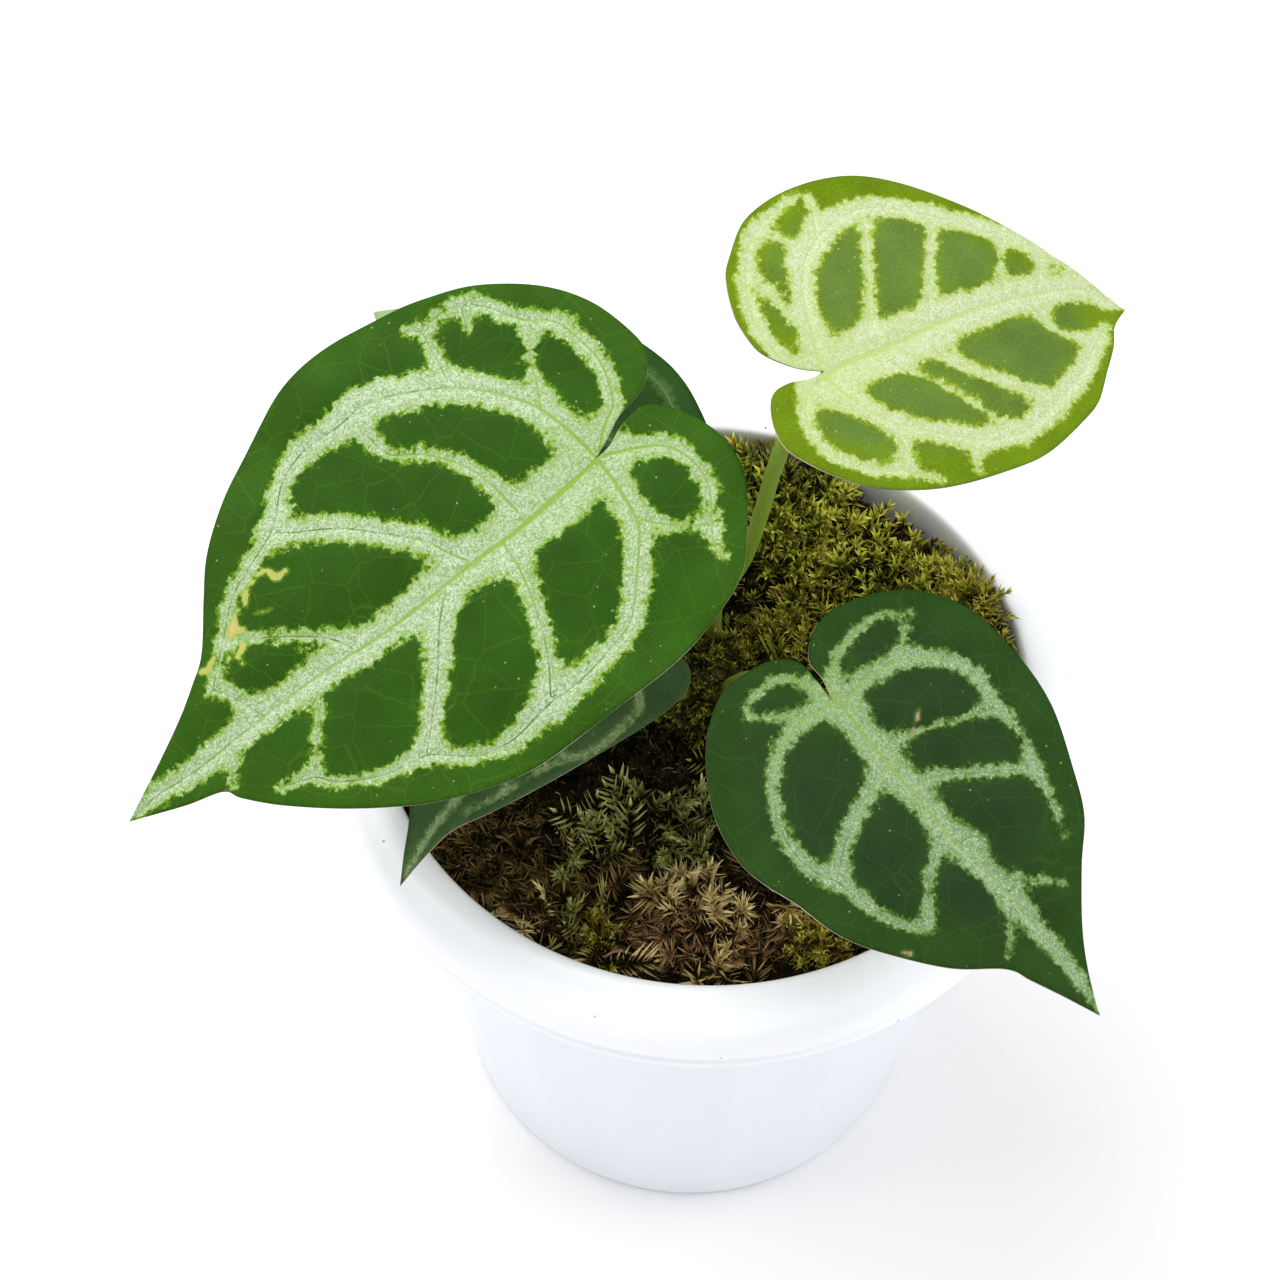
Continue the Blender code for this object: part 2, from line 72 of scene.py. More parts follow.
# %% Camera at the viewing angle
CAMERA_PLACE = Vector((0.0, -0.3137, 0.6424))
LOOK_DOWN = math.radians(57.403)
LOOK_ASIDE = math.radians(-2.376)
LEAN = math.radians(1.403)
LENS, SENSOR_WIDTH = 85.0, 36.0


def into_scene(name, data):
    """An object that holds this mesh, lamp or camera, linked to the scene."""
    holder = bpy.data.objects.new(name, data)
    bpy.context.scene.collection.objects.link(holder)
    return holder


forward = Vector((math.sin(LOOK_ASIDE) * math.cos(LOOK_DOWN),
                  math.cos(LOOK_ASIDE) * math.cos(LOOK_DOWN), -math.sin(LOOK_DOWN)))
level = Vector((math.cos(LOOK_ASIDE), -math.sin(LOOK_ASIDE), 0.0))
upward = level.cross(forward)
right = math.cos(LEAN) * level + math.sin(LEAN) * upward
above = -math.sin(LEAN) * level + math.cos(LEAN) * upward
camera = into_scene("camera", bpy.data.cameras.new("camera"))
camera.data.lens, camera.data.sensor_width = LENS, SENSOR_WIDTH
turn = Matrix((right, above, -forward)).transposed().to_4x4()
camera.matrix_world = Matrix.Translation(CAMERA_PLACE) @ turn
bpy.context.scene.camera = camera
print("camera looks along", [round(v, 3) for v in forward])

# %% [markdown]
# ## Light and floor
# A large lamp above and a little behind gives soft light on the leaves' upper faces and a bright rim. Two
# more at the sides brighten the rim's ends and thin the shadows, and a weak one fills in from the front, so
# that the pot's wall doesn't go dark. The floor is plain and nearly white.

# %% Lamps, world and floor
# Each lamp's place, the height that it aims at, its width, its power and its colour.
LAMPS = {"key": ((-0.35, 0.35, 1.25), 0.12, 0.7, 9.2, (1.0, 0.985, 0.96)),
         "left": ((-0.95, 0.0, 0.9), 0.1, 0.8, 6.2, (1.0, 0.99, 0.97)),
         "right": ((0.95, 0.1, 0.9), 0.1, 0.8, 7.0, (1.0, 0.99, 0.97)),
         "fill": ((0.5, -1.1, 0.75), 0.1, 0.9, 3.2, (0.98, 0.99, 1.0))}
WORLD_COLOUR, WORLD_STRENGTH = (0.96, 0.98, 1.0, 1.0), 0.66
FLOOR_HALF, FLOOR_TONE = 1.5, (0.82, 0.82, 0.82, 1)

for name, (place, aim_height, size, power, tone) in LAMPS.items():
    lamp = into_scene(name, bpy.data.lights.new(name, "AREA"))
    lamp.data.size, lamp.data.energy, lamp.data.color = size, power, tone
    lamp.location = place
    lamp.rotation_euler = (Vector((0, 0, aim_height)) - Vector(place)).to_track_quat("-Z", "Y").to_euler()
world = bpy.data.worlds.new("studio")
world.use_nodes = True
sky = world.node_tree.nodes["Background"]
sky.inputs["Color"].default_value, sky.inputs["Strength"].default_value = WORLD_COLOUR, WORLD_STRENGTH
bpy.context.scene.world = world
bpy.context.scene.view_settings.view_transform = "Standard"

floor = into_scene("floor", bpy.data.meshes.new("floor"))
corners = [(x * FLOOR_HALF, y * FLOOR_HALF, 0) for x, y in ((-1, -1), (1, -1), (1, 1), (-1, 1))]
floor.data.from_pydata(corners, [], [(0, 1, 2, 3)])
floor_paint = bpy.data.materials.new("floor_paint")
floor_paint.use_nodes = True
paint = floor_paint.node_tree.nodes["Principled BSDF"]
paint.inputs["Base Color"].default_value, paint.inputs["Roughness"].default_value = FLOOR_TONE, 0.9
floor.data.materials.append(floor_paint)
floor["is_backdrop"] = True
print("lamps and floor placed")

# %% [markdown]
# ## Helpers for shader trees
# Each material below is a small tree of nodes. Written out one by one, its sums would be long. So a value
# that flows through a tree is wrapped as a Wire, and plus, minus and times on it add the Math nodes. The
# other helpers add one kind of node each, start a material, or start a node group with named sockets.

# %% Wires and sums
class Wire:
    """A value in a shader tree. Sums with it become Math nodes in the same tree."""

    def __init__(self, socket):
        self.socket, self.tree = socket, socket.id_data

    def __add__(self, other):
        return arithmetic("ADD", self, other)

    def __sub__(self, other):
        return arithmetic("SUBTRACT", self, other)

    def __mul__(self, other):
        return arithmetic("MULTIPLY", self, other)

    __radd__, __rmul__ = __add__, __mul__


def feed(target, value):
    """Links a wire or a socket to an input, or sets a plain value there."""
    value = getattr(value, "socket", value)
    if isinstance(value, bpy.types.NodeSocket):
        target.id_data.links.new(value, target)
    else:
        target.default_value = value


def add_node(tree, kind, inputs=None, **settings):
    """A node with its settings and its inputs, which are wires, sockets or plain values."""
    node = tree.nodes.new(kind)
    for key, value in settings.items():
        setattr(node, key, value)
    for key, value in (inputs or {}).items():
        feed(node.inputs[key], value)
    return node


def arithmetic(operation, a, b=0.0):
    return Wire(add_node(a.tree, "ShaderNodeMath", {0: a, 1: b}, operation=operation).outputs[0])


print("sums become nodes")

# %% [markdown]
# Colours are given as they look on screen. Then comes one short function for each kind of node that is used
# often: a smooth ramp, a blend, noise, crumbs, an attribute, places on the object, and a bump.

# %% Shader helpers
def colour(red, green, blue):
    """A colour given as it looks on screen, as Blender's linear RGBA."""
    def linear(value):
        return value / 12.92 if value <= 0.04045 else ((value + 0.055) / 1.055) ** 2.4
    return (linear(red / 255.0), linear(green / 255.0), linear(blue / 255.0), 1.0)


def ramp(value, low, high, to_low=0.0, to_high=1.0):
    """A value between two limits, remapped smoothly and held at its ends."""
    limits = {"From Min": low, "From Max": high, "To Min": to_low, "To Max": to_high}
    return Wire(add_node(value.tree, "ShaderNodeMapRange", {"Value": value, **limits},
                         interpolation_type="SMOOTHSTEP", clamp=True).outputs["Result"])


def blend(factor, first, second, blend_type="MIX"):
    tree = next(value.tree for value in (factor, first, second) if isinstance(value, Wire))
    return Wire(add_node(tree, "ShaderNodeMix", {0: factor, 6: first, 7: second}, data_type="RGBA",
                         blend_type=blend_type, clamp_factor=True).outputs[2])


def noise(place, scale, detail=2.0, roughness=0.5, output="Fac"):
    return Wire(add_node(place.tree, "ShaderNodeTexNoise",
                         {"Vector": place, "Scale": scale, "Detail": detail,
                          "Roughness": roughness}).outputs[output])


def crumbs(place, scale):
    """Voronoi crumbs: the way to each crumb's middle, and its three random numbers."""
    texture = add_node(place.tree, "ShaderNodeTexVoronoi", {"Vector": place, "Scale": scale})
    pick = add_node(place.tree, "ShaderNodeSeparateColor", {"Color": texture.outputs["Color"]})
    return [Wire(socket) for socket in (texture.outputs["Distance"], *pick.outputs)]


def attribute(tree, name):
    return Wire(add_node(tree, "ShaderNodeAttribute", attribute_name=name).outputs["Fac"])


def object_place(tree):
    return Wire(add_node(tree, "ShaderNodeTexCoord").outputs["Object"])


def stretched(place, along_z):
    """Places squeezed in height, so that a pattern on them is drawn out into upright streaks."""
    node = add_node(place.tree, "ShaderNodeMapping", {"Vector": place, "Scale": (1.0, 1.0, along_z)})
    return Wire(node.outputs[0])


def bump(shader, height, strength, distance):
    node = add_node(height.tree, "ShaderNodeBump",
                    {"Height": height, "Strength": strength, "Distance": distance})
    feed(shader.inputs["Normal"], node.outputs["Normal"])


print("shader helpers ready")

# %% [markdown]
# A value that is even all over a surface is set on the Principled node itself, where the export finds it. A
# group keeps an effect that several materials share, and each material places it with its own values.

# %% Starting materials and groups
def new_material(name, sockets):
    """A material with its Principled node, whose even values are set on the node itself."""
    material = bpy.data.materials.new(name)
    material.use_nodes = True
    shader = material.node_tree.nodes["Principled BSDF"]
    for key, value in sockets.items():
        shader.inputs[key].default_value = value
    return material, material.node_tree, shader


def new_group(name, numbers, colours, outputs):
    """A node group with a place, numbers that have a start value, and colours as its named inputs."""
    tree = bpy.data.node_groups.new(name, "ShaderNodeTree")
    kinds = {"Place": "Vector", **dict.fromkeys(numbers, "Float"), **dict.fromkeys(colours, "Color")}
    for title, kind in kinds.items():
        socket = tree.interface.new_socket(title, in_out="INPUT", socket_type="NodeSocket" + kind)
        if title in numbers:
            socket.default_value = numbers[title]
    for title, kind in outputs.items():
        tree.interface.new_socket(title, in_out="OUTPUT", socket_type="NodeSocket" + kind)
    inner = {socket.name: Wire(socket) for socket in tree.nodes.new("NodeGroupInput").outputs}
    return tree, inner, tree.nodes.new("NodeGroupOutput").inputs


def use_group(tree, group, inputs):
    node = add_node(tree, "ShaderNodeGroup", inputs, node_tree=group)
    return {socket.name: Wire(socket) for socket in node.outputs}


print("materials and groups can start")

# %% [markdown]
# ## Mottle
# Plastic, soil and moss are never one even tone. This small group, shared by several materials, puts out a
# colour that wanders between two tones at two scales, and the same wandering as a plain value.

# %% Mottle group
mottle, mottle_in, mottle_out = new_group("mottle", {"Coarse": 60.0, "Fine": 600.0}, ("Light", "Dark"),
                                          {"Color": "Color", "Value": "Float"})
wide = noise(mottle_in["Place"], mottle_in["Coarse"], 3.0)
close = noise(mottle_in["Place"], mottle_in["Fine"], 4.0, 0.6)
spread = ramp(0.55 * wide + 0.45 * close - 0.5, -0.12, 0.12)
feed(mottle_out["Color"], blend(spread, mottle_in["Dark"], mottle_in["Light"]))
feed(mottle_out["Value"], spread)
print("group:", mottle.name)

# %% [markdown]
# ## Mesh helpers
# A finished piece sits at the origin with its place in its mesh. Curves are smoothed with one function,
# which runs an even line through a few measured points.

# %% Mesh helpers
def add_piece(name, points, faces, materials, smooth=True, face_material=None):
    """An object from points in millimetres."""
    mesh = bpy.data.meshes.new(name)
    mesh.from_pydata(np.asarray(points, float) * MM, [], faces)
    for material in materials:
        mesh.materials.append(material)
    if face_material is not None:
        mesh.polygons.foreach_set("material_index", np.asarray(face_material, np.int32))
    mesh.polygons.foreach_set("use_smooth", np.full(len(mesh.polygons), smooth))
    mesh.update()
    return into_scene(name, mesh)


def set_attribute(piece, name, values):
    """One number for each point of the mesh, which a material reads by name."""
    layer = piece.data.attributes.new(name, "FLOAT", "POINT")
    layer.data.foreach_set("value", np.asarray(values, np.float32))


def plain_mesh(piece):
    """The mesh that a piece's modifiers make of it."""
    graph = bpy.context.evaluated_depsgraph_get()
    return bpy.data.meshes.new_from_object(piece.evaluated_get(graph), preserve_all_data_layers=True,
                                           depsgraph=graph)


def join(parts):
    """Makes one object of several."""
    if len(parts) > 1:
        with bpy.context.temp_override(active_object=parts[0], selected_editable_objects=parts):
            bpy.ops.object.join()
    return parts[0]


def remove(thing):
    bpy.data.objects.remove(thing, do_unlink=True)


def settle(piece, replaced):
    """Says what a finished piece rides on, hides the solid that it stands for and prints its triangle count.
    """
    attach(piece, "root")
    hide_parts(replaced)
    count = sum(len(face.vertices) - 2 for face in piece.data.polygons)
    print(piece.name, "triangles:", count)


print("mesh helpers ready")

# %% [markdown]
# Two makers of form are used again and again: a smooth line through a few points, and a section turned round
# the upright axis.

# %% Smooth lines and turned forms
def smooth_line(control, spacing, closed=False, corners=()):
    """An even Catmull-Rom line through control points, sharp at the corners' indices."""
    control = np.asarray(control, float)
    count = len(control)
    result = []
    for i in range(count if closed else count - 1):
        near = [i + k for k in (-1, 0, 1, 2)]
        a, b, c, d = (control[k % count if closed else min(max(k, 0), count - 1)] for k in near)
        if i in corners:
            a = b
        if (i + 1) % count in corners:
            d = c
        pieces = max(1, round(float(np.linalg.norm((c - b)[:2])) / spacing))
        for t in np.arange(pieces) / pieces:
            result.append(0.5 * (2 * b + (c - a) * t + (2 * a - 5 * b + 4 * c - d) * t ** 2
                                 + (3 * b - a - 3 * c + d) * t ** 3))
    if not closed:
        result.append(control[-1])
    return np.array(result)


def lathe_piece(name, profile, segments, material, dent=None):
    """Turns a closed section, whose ends lie on the axis, with an optional dent by angle and height."""
    profile = np.asarray(profile, float)
    angles = np.arange(segments) * math.tau / segments
    points = [(0.0, 0.0, profile[0][1]), (0.0, 0.0, profile[-1][1])]
    for radius, z in profile[1:-1]:
        r = radius - (dent(angles, z) if dent else 0.0)
        points += list(zip(r * np.cos(angles), r * np.sin(angles), np.full(segments, z)))
    faces = []
    last = len(profile) - 3
    for step in range(segments):
        after = (step + 1) % segments
        faces.append((0, 2 + after, 2 + step))
        for ring in range(last):
            low = 2 + ring * segments
            faces.append((low + step, low + after, low + segments + after, low + segments + step))
        top = 2 + last * segments
        faces.append((1, top + step, top + after))
    return add_piece(name, points, faces, [material])


print("lines and turned forms ready")

# %% [markdown]
# ## The pot's plastic
# The pot is injection-moulded white plastic: smooth and softly glossy. The body below the rim is painted a
# little cooler and darker than the rim, as painted shade. In use the pot picks up a little dust low down and
# specks of soil on the rim. A Principled shader with a low, even roughness does this, and the painted shade,
# the dust and the specks only tint the colour.

# %% Pot material
plastic, tree, shader = new_material("white_plastic", {"Specular IOR Level": 0.5, "IOR": 1.49,
                                                      "Roughness": 0.3})
place = object_place(tree)
height = Wire(add_node(tree, "ShaderNodeSeparateXYZ", {"Vector": place}).outputs["Z"])
clouds = use_group(tree, mottle, {"Place": place, "Coarse": 26.0, "Fine": 210.0,
                                  "Light": colour(240, 241, 244), "Dark": colour(239, 240, 243)})
# Painted shade: the body below the rim is tinted cooler and darker than the rim, though both are the same
# plastic.
body_painted_shade = blend(ramp(height, 0.1195, 0.1165), clouds["Color"], colour(226, 229, 236))
low_dust = ramp(height, 0.075, 0.0) * ramp(noise(place, 90.0, 5.0, 0.7), 0.45, 0.75)
dusty = blend(0.12 * low_dust, body_painted_shade, colour(206, 205, 200))
away, pick, *_ = crumbs(place, 420.0)
soil_speck = ramp(pick, 0.974, 0.976) * ramp(away, 0.16, 0.1) * ramp(height, 0.112, 0.118)
feed(shader.inputs["Base Color"], blend(0.75 * soil_speck, dusty, colour(96, 84, 72)))
print("material:", plastic.name)

# %% [markdown]
# ## The pot
# A nursery pot is one turned form: a raised foot, a tapered body with broad shallow facets, a thin bead and
# a wide hollow rim that rolls over into the mouth. It could be spun with a Screw modifier. Here its closed
# section is turned in code, because the facets have to dent the body only, and each corner of the section is
# first rounded a little, so that it catches light as moulded plastic does.

# %% Pot section
POT_SEGMENTS = 252
FACETS = 18
FACET_DEPTH = 0.6
FACET_START_Z, FACET_FADE = 1.5, 2.5
CORNER_REACH = 1.6
BODY_TOP_Z = 117.4
FOOT_LIFT = 2.2
DRAIN_HOLES = 6
DRAIN_RADIUS = 3.5
DRAIN_CIRCLE = 32.0
POT_OUTSIDE = [(0, 0), (18, 0), (20, FOOT_LIFT), (43.5, FOOT_LIFT), (45, 0), (50.2, 0), (51, 0.8),
               (51.45, 3.7), (65.2, BODY_TOP_Z)]
POT_RIM = [(66.1, 119), (66.4, 129.5), (69, 131.2), (71.4, 129), (72.1, 124.5), (70.8, 119.6),
           (71.4, 118.5), (73.4, 118.4), (74.15, 119.1), (74.1, 120.2), (73.3, 121), (74.3, 122.7),
           (75, 125.5), (74.4, 128.9), (72.4, 132), (69.3, 134.2), (66.4, 135), (64.6, 134.7)]
POT_INSIDE = [(64, 133.4), (63.5, BODY_TOP_Z), (49.9, 5.4), (48.8, 4.4), (0, 4.4)]


def round_corners(section, reach):
    """Replaces each corner by a short arc of four points."""
    section = np.asarray(section, float)
    result = [section[0]]
    for before, corner, after in zip(section, section[1:], section[2:]):
        back, on = before - corner, after - corner
        a = corner + back * min(0.45, reach / np.linalg.norm(back))
        b = corner + on * min(0.45, reach / np.linalg.norm(on))
        for t in (0.0, 1 / 3, 2 / 3, 1.0):
            result.append((1 - t) ** 2 * a + 2 * t * (1 - t) * corner + t ** 2 * b)
    result.append(section[-1])
    return result


def facet_dent(angles, z):
    """How far the body's wall lies inside its circle, in the middle of a facet."""
    if z <= FACET_START_Z or z > BODY_TOP_Z + 0.4:
        return 0.0
    across = (angles * FACETS / math.tau) % 1.0
    return FACET_DEPTH * min(1.0, (z - FACET_START_Z) / FACET_FADE) * (1.0 - (2.0 * across - 1.0) ** 2)


pot_section = round_corners(POT_OUTSIDE + POT_RIM + POT_INSIDE, CORNER_REACH)
pot = lathe_piece("pot_shell", pot_section, POT_SEGMENTS, plastic, facet_dent)
print("pot ring count:", len(pot.data.vertices) // POT_SEGMENTS)

# %% [markdown]
# The raised floor has six drain holes. Six rods are joined and cut out with one Boolean modifier, which is
# applied at once, so that the piece ends as a plain mesh.

# %% Drain holes
ROD_LENGTH, ROD_SIDES = 8, 24
ROD_SECTION = [(0, 0), (DRAIN_RADIUS, 0), (DRAIN_RADIUS, ROD_LENGTH), (0, ROD_LENGTH)]
rods = []
for index in range(DRAIN_HOLES):
    angle = math.tau * (index + 0.5) / DRAIN_HOLES
    rod = lathe_piece(f"rod_{index}", ROD_SECTION, ROD_SIDES, plastic)
    rod.data.transform(Matrix.Translation((DRAIN_CIRCLE * MM * math.cos(angle),
                                           DRAIN_CIRCLE * MM * math.sin(angle), 0.0)))
    rods.append(rod)
bpy.context.view_layer.update()
rod = join(rods)
modifier = pot.modifiers.new("cut", "BOOLEAN")
modifier.operation, modifier.solver, modifier.object = "DIFFERENCE", "EXACT", rod
cut_mesh = plain_mesh(pot)
pot.modifiers.remove(modifier)
pot.data = cut_mesh
remove(rod)
settle(pot, "pot")

# %% [markdown]
# ## Potting mix
# Below the moss the pot is full of dark bark and peat with a few pale grains. Its solid has the right shape
# and only shows through the drain holes, so the solid stays and gets a better finish.

# %% Potting mix finish
peat, tree, shader = new_material("peat", {"Roughness": 0.95, "Specular IOR Level": 0.2})
place = object_place(tree)
soil = use_group(tree, mottle, {"Place": place, "Coarse": 180.0, "Fine": 1500.0,
                                "Light": colour(84, 62, 44), "Dark": colour(30, 22, 17)})
away, _, pick, _ = crumbs(place, 320.0)
feed(shader.inputs["Base Color"], blend(ramp(pick, 0.9, 0.92), soil["Color"], colour(170, 160, 140)))
bump(shader, away, 0.6, 0.002)
mix_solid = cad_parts["potting_mix"]
mix_solid.data.materials.clear()
mix_solid.data.materials.append(peat)
print("potting mix finish:", peat.name)

# %% [markdown]
# ## Moss bed
# Under the shoots lies a rough mat of dead moss and humus. It is a disc of even triangles whose height
# follows the same mound as the solid, with small lumps from a few crossed waves. The mat is hidden in most
# places, and shows as dark gaps between the shoots.

# %% Moss bed shape
MOSS_RADIUS = 62.9
MOSS_LEVEL_Z = 127.0
MOSS_FOOT_Z = 120.55
CROWN_HOLE = 8.7
BED_STEP = 1.1
BED_TURNS = 330
BED_SINK = 0.8
EDGE_DROP, EDGE_REACH = 2.6, 0.9


def mound(x, y):
    """The height of the moss, highest against the back and right of the rim."""
    swell = 1.3 * np.sin(x / 9.0 + 0.7) * np.cos(y / 8.0) + 0.8 * np.sin(x / 4.7 - y / 5.9)
    back = 7.0 * np.exp(-((x - 14.0) ** 2 + (y - 50.0) ** 2) / 320.0)
    side = 9.0 * np.exp(-((x - 57.0) ** 2 + (y - 22.0) ** 2) / 220.0)
    left = 2.5 * np.exp(-((x + 40.0) ** 2 + (y - 10.0) ** 2) / 500.0)
    front = 1.5 * np.exp(-(x ** 2 + (y + 48.0) ** 2) / 420.0)
    return MOSS_LEVEL_Z + swell + back + side + left - front


def cushions(x, y):
    """The cushions that moss grows in, some 7 mm across: 1 on top and -1 in the gaps."""
    return np.sin(x / 2.2 + 1.7 * np.sin(y / 4.1)) * np.sin(y / 2.5 + 1.3 * np.sin(x / 3.7))


def lumps(x, y):
    """Small humps and pits of the mat."""
    small = np.sin(x / 1.9 + 1.3 * np.sin(y / 3.1)) * np.sin(y / 2.3 + 1.1 * np.sin(x / 2.7))
    finest = np.sin(x / 0.93 + y / 1.31) * np.sin(y / 0.87 - x / 1.7)
    return 1.2 * cushions(x, y) + 0.6 * small + 0.5 * finest


rings = int((MOSS_RADIUS - CROWN_HOLE) / BED_STEP)
steps = BED_TURNS
radii = CROWN_HOLE + (MOSS_RADIUS - CROWN_HOLE) * np.arange(rings + 1) / rings
angles = math.tau * np.arange(steps) / steps
x = np.outer(radii, np.cos(angles)).ravel()
y = np.outer(radii, np.sin(angles)).ravel()
edge_drop = EDGE_DROP * np.exp(-(MOSS_RADIUS - np.hypot(x, y)) / EDGE_REACH)
bed_top = np.stack([x, y, mound(x, y) + lumps(x, y) - BED_SINK - edge_drop], 1)
foot = [(r * math.cos(a), r * math.sin(a), MOSS_FOOT_Z) for r in (MOSS_RADIUS, CROWN_HOLE) for a in angles]
bed_points = np.vstack([bed_top, foot])
bed_faces = []
for ring in range(rings):
    for step in range(steps):
        after = (step + 1) % steps
        low = ring * steps
        bed_faces.append((low + step, low + steps + step, low + steps + after, low + after))
outer, floor_start = rings * steps, (rings + 1) * steps
for step in range(steps):
    after = (step + 1) % steps
    bed_faces += [(outer + step, floor_start + step, floor_start + after, outer + after),
                  (floor_start + step, floor_start + steps + step, floor_start + steps + after,
                   floor_start + after),
                  (floor_start + steps + step, step, after, floor_start + steps + after)]
print("moss bed points:", len(bed_points))

# %% [markdown]
# The mat is humus: nearly black, dull, with rusty patches. The shared mottle gives its tone, and a fine noise
# in the Bump node makes it crumbly without more faces.

# %% Moss bed finish
humus, tree, shader = new_material("humus", {"Roughness": 0.96, "Specular IOR Level": 0.15})
place = object_place(tree)
mat_tone = use_group(tree, mottle, {"Place": place, "Coarse": 110.0, "Fine": 1300.0,
                                    "Light": colour(40, 34, 12), "Dark": colour(10, 8, 4)})
rusty = ramp(noise(place, 70.0, 3.0), 0.56, 0.7)
feed(shader.inputs["Base Color"], blend(0.5 * rusty, mat_tone["Color"], colour(58, 36, 16)))
bump(shader, noise(place, 1500.0, 4.0, 0.7), 0.8, 0.0012)
bed = add_piece("moss_bed", bed_points, bed_faces, [humus])
settle(bed, "moss")

# %% [markdown]
# ## One moss shoot
# A moss shoot is a stem with rows of narrow pointed leaves that curve outwards. From above it looks like a
# star; from the side, like a small plume. Each leaf here is a closed sliver of four triangles, so that a
# whole shoot has only a few dozen faces and can be repeated hundreds of times. The value "tip", from 0 at
# a leaf's base to 1 at its end, goes with the mesh and lets the material lighten the ends.

# %% Shoot shapes
def sliver(points, faces, tips, root, end, side, width, thickness, light=1.0):
    """A closed pointed leaf from root to end, folded along its widest line."""
    base = len(points)
    along = end - root
    up = np.cross(along, side)
    up /= np.linalg.norm(up) + 1e-9
    middle = root + 0.38 * along + up * thickness
    left, right = middle + side * width / 2, middle - side * width / 2
    if np.dot(np.cross(left - root, right - root), along) < 0:
        left, right = right, left
    points += [root, left, right, end]
    faces += [(base, base + 2, base + 1), (base, base + 1, base + 3), (base, base + 3, base + 2),
              (base + 1, base + 2, base + 3)]
    tips += [0.0, 0.45 * light, 0.45 * light, light]


def shoot_object(name, points, faces, tips):
    """A pattern object for the trees below. It is removed when all shoots have grown."""
    shoot = add_piece(name, points, faces, [], smooth=False)
    set_attribute(shoot, "tip", tips)
    return shoot


def make_shoot(name, leaves, stem, reach, spread, droop, width, seed, twist=2.4):
    """Leaves in a spiral up a stem; the lower ones spread wide and the upper ones stand up."""
    draw = random.Random(seed)
    points, faces, tips = [], [], []
    lean = np.array([draw.uniform(-0.2, 0.2), draw.uniform(-0.2, 0.2)])
    for index in range(leaves):
        share = index / max(1, leaves - 1)
        turn = twist * index + draw.uniform(-0.3, 0.3)
        rise = stem * share
        root = np.array([lean[0] * rise * share, lean[1] * rise * share, rise])
        open_angle = spread * (1.0 - 0.75 * share) + draw.uniform(-0.12, 0.12)
        length = reach * (1.0 - 0.45 * share) * draw.uniform(0.8, 1.15)
        out = np.array([math.cos(turn), math.sin(turn), 0.0])
        end = root + length * (math.sin(open_angle) * out + math.cos(open_angle) * np.array([0, 0, 1.0]))
        end[2] -= droop * length * draw.uniform(0.6, 1.2)
        side = np.array([-math.sin(turn), math.cos(turn), 0.0])
        sliver(points, faces, tips, root, end, side, width * draw.uniform(0.8, 1.2), width * 0.3,
               0.3 + 0.7 * share)
    return shoot_object(name, points, faces, tips)


def make_plume(name, pairs, stem, reach, width, curl, seed, hook=0.0):
    """A feather: leaves in two rows along a stem that arches over, with a tuft at its end."""
    draw = random.Random(seed)
    points, faces, tips = [], [], []
    for index in range(pairs * 2 + 1):
        share = (index // 2 + 0.5) / (pairs + 0.5)
        bend = curl * share
        root = np.array([stem * math.sin(bend) / max(curl, 0.01) * share ** 0.3 * 0.9, 0.0,
                         stem * share * math.cos(0.6 * bend)])
        forward_way = np.array([math.sin(bend * 1.3), 0.0, math.cos(bend * 1.3)])
        row = 0 if index == pairs * 2 else (1 if index % 2 else -1)
        fullness = 0.55 + 0.9 * math.sin(math.pi * min(1.0, share * 0.85 + 0.1))
        length = reach * fullness * draw.uniform(0.85, 1.1)
        side_way = np.array([0.0, float(row), 0.0])
        way = forward_way * 0.85 + side_way * 0.75 + np.array([draw.uniform(-0.2, 0.3), 0, 0])
        end = root + length * way / np.linalg.norm(way)
        end = end + hook * length * (forward_way * 0.3 - np.array([0, 0, 0.5]))
        side = np.cross(way, np.array([1.0, 0.15 * row, 0.0]))
        side /= np.linalg.norm(side) + 1e-9
        sliver(points, faces, tips, root, end, side, width * draw.uniform(0.8, 1.2), width * 0.3,
               0.5 + 0.5 * share)
    return shoot_object(name, points, faces, tips)


def make_strand(name, length, width, bends, seed):
    """A dry curled thread: a thin three-sided tube that wanders."""
    draw = random.Random(seed)
    place = np.zeros(3)
    way = np.array([0.5, 0.0, 1.0])
    points, faces, tips = [], [], []
    for index in range(bends + 1):
        size = width * (1.0 - 0.8 * index / bends)
        side = np.cross(way, [0.3, 1.0, 0.1])
        side /= np.linalg.norm(side)
        up = np.cross(way, side)
        for corner in range(3):
            turn = math.tau * corner / 3
            points.append(place + size * (math.cos(turn) * side + math.sin(turn) * up))
            tips.append(index / bends)
        way = way + np.array([draw.uniform(-0.7, 0.9), draw.uniform(-0.8, 0.8), -0.45])
        way /= np.linalg.norm(way)
        place = place + way * length / bends
    for index in range(bends):
        for corner in range(3):
            after = (corner + 1) % 3
            low = index * 3
            faces.append((low + corner, low + after, low + 3 + after, low + 3 + corner))
    faces += [(2, 1, 0), (bends * 3, bends * 3 + 1, bends * 3 + 2)]
    return shoot_object(name, points, faces, tips)


print("shoot makers ready")

# %% [markdown]
# ## Trees that make meshes
# What repeats or follows a path is the work of Geometry Nodes: the moss and the stalks. The helpers start a
# tree with named inputs, end it with real mesh and a material, and run it on an object. An input is set by
# its socket's identifier, because names needn't be unique.

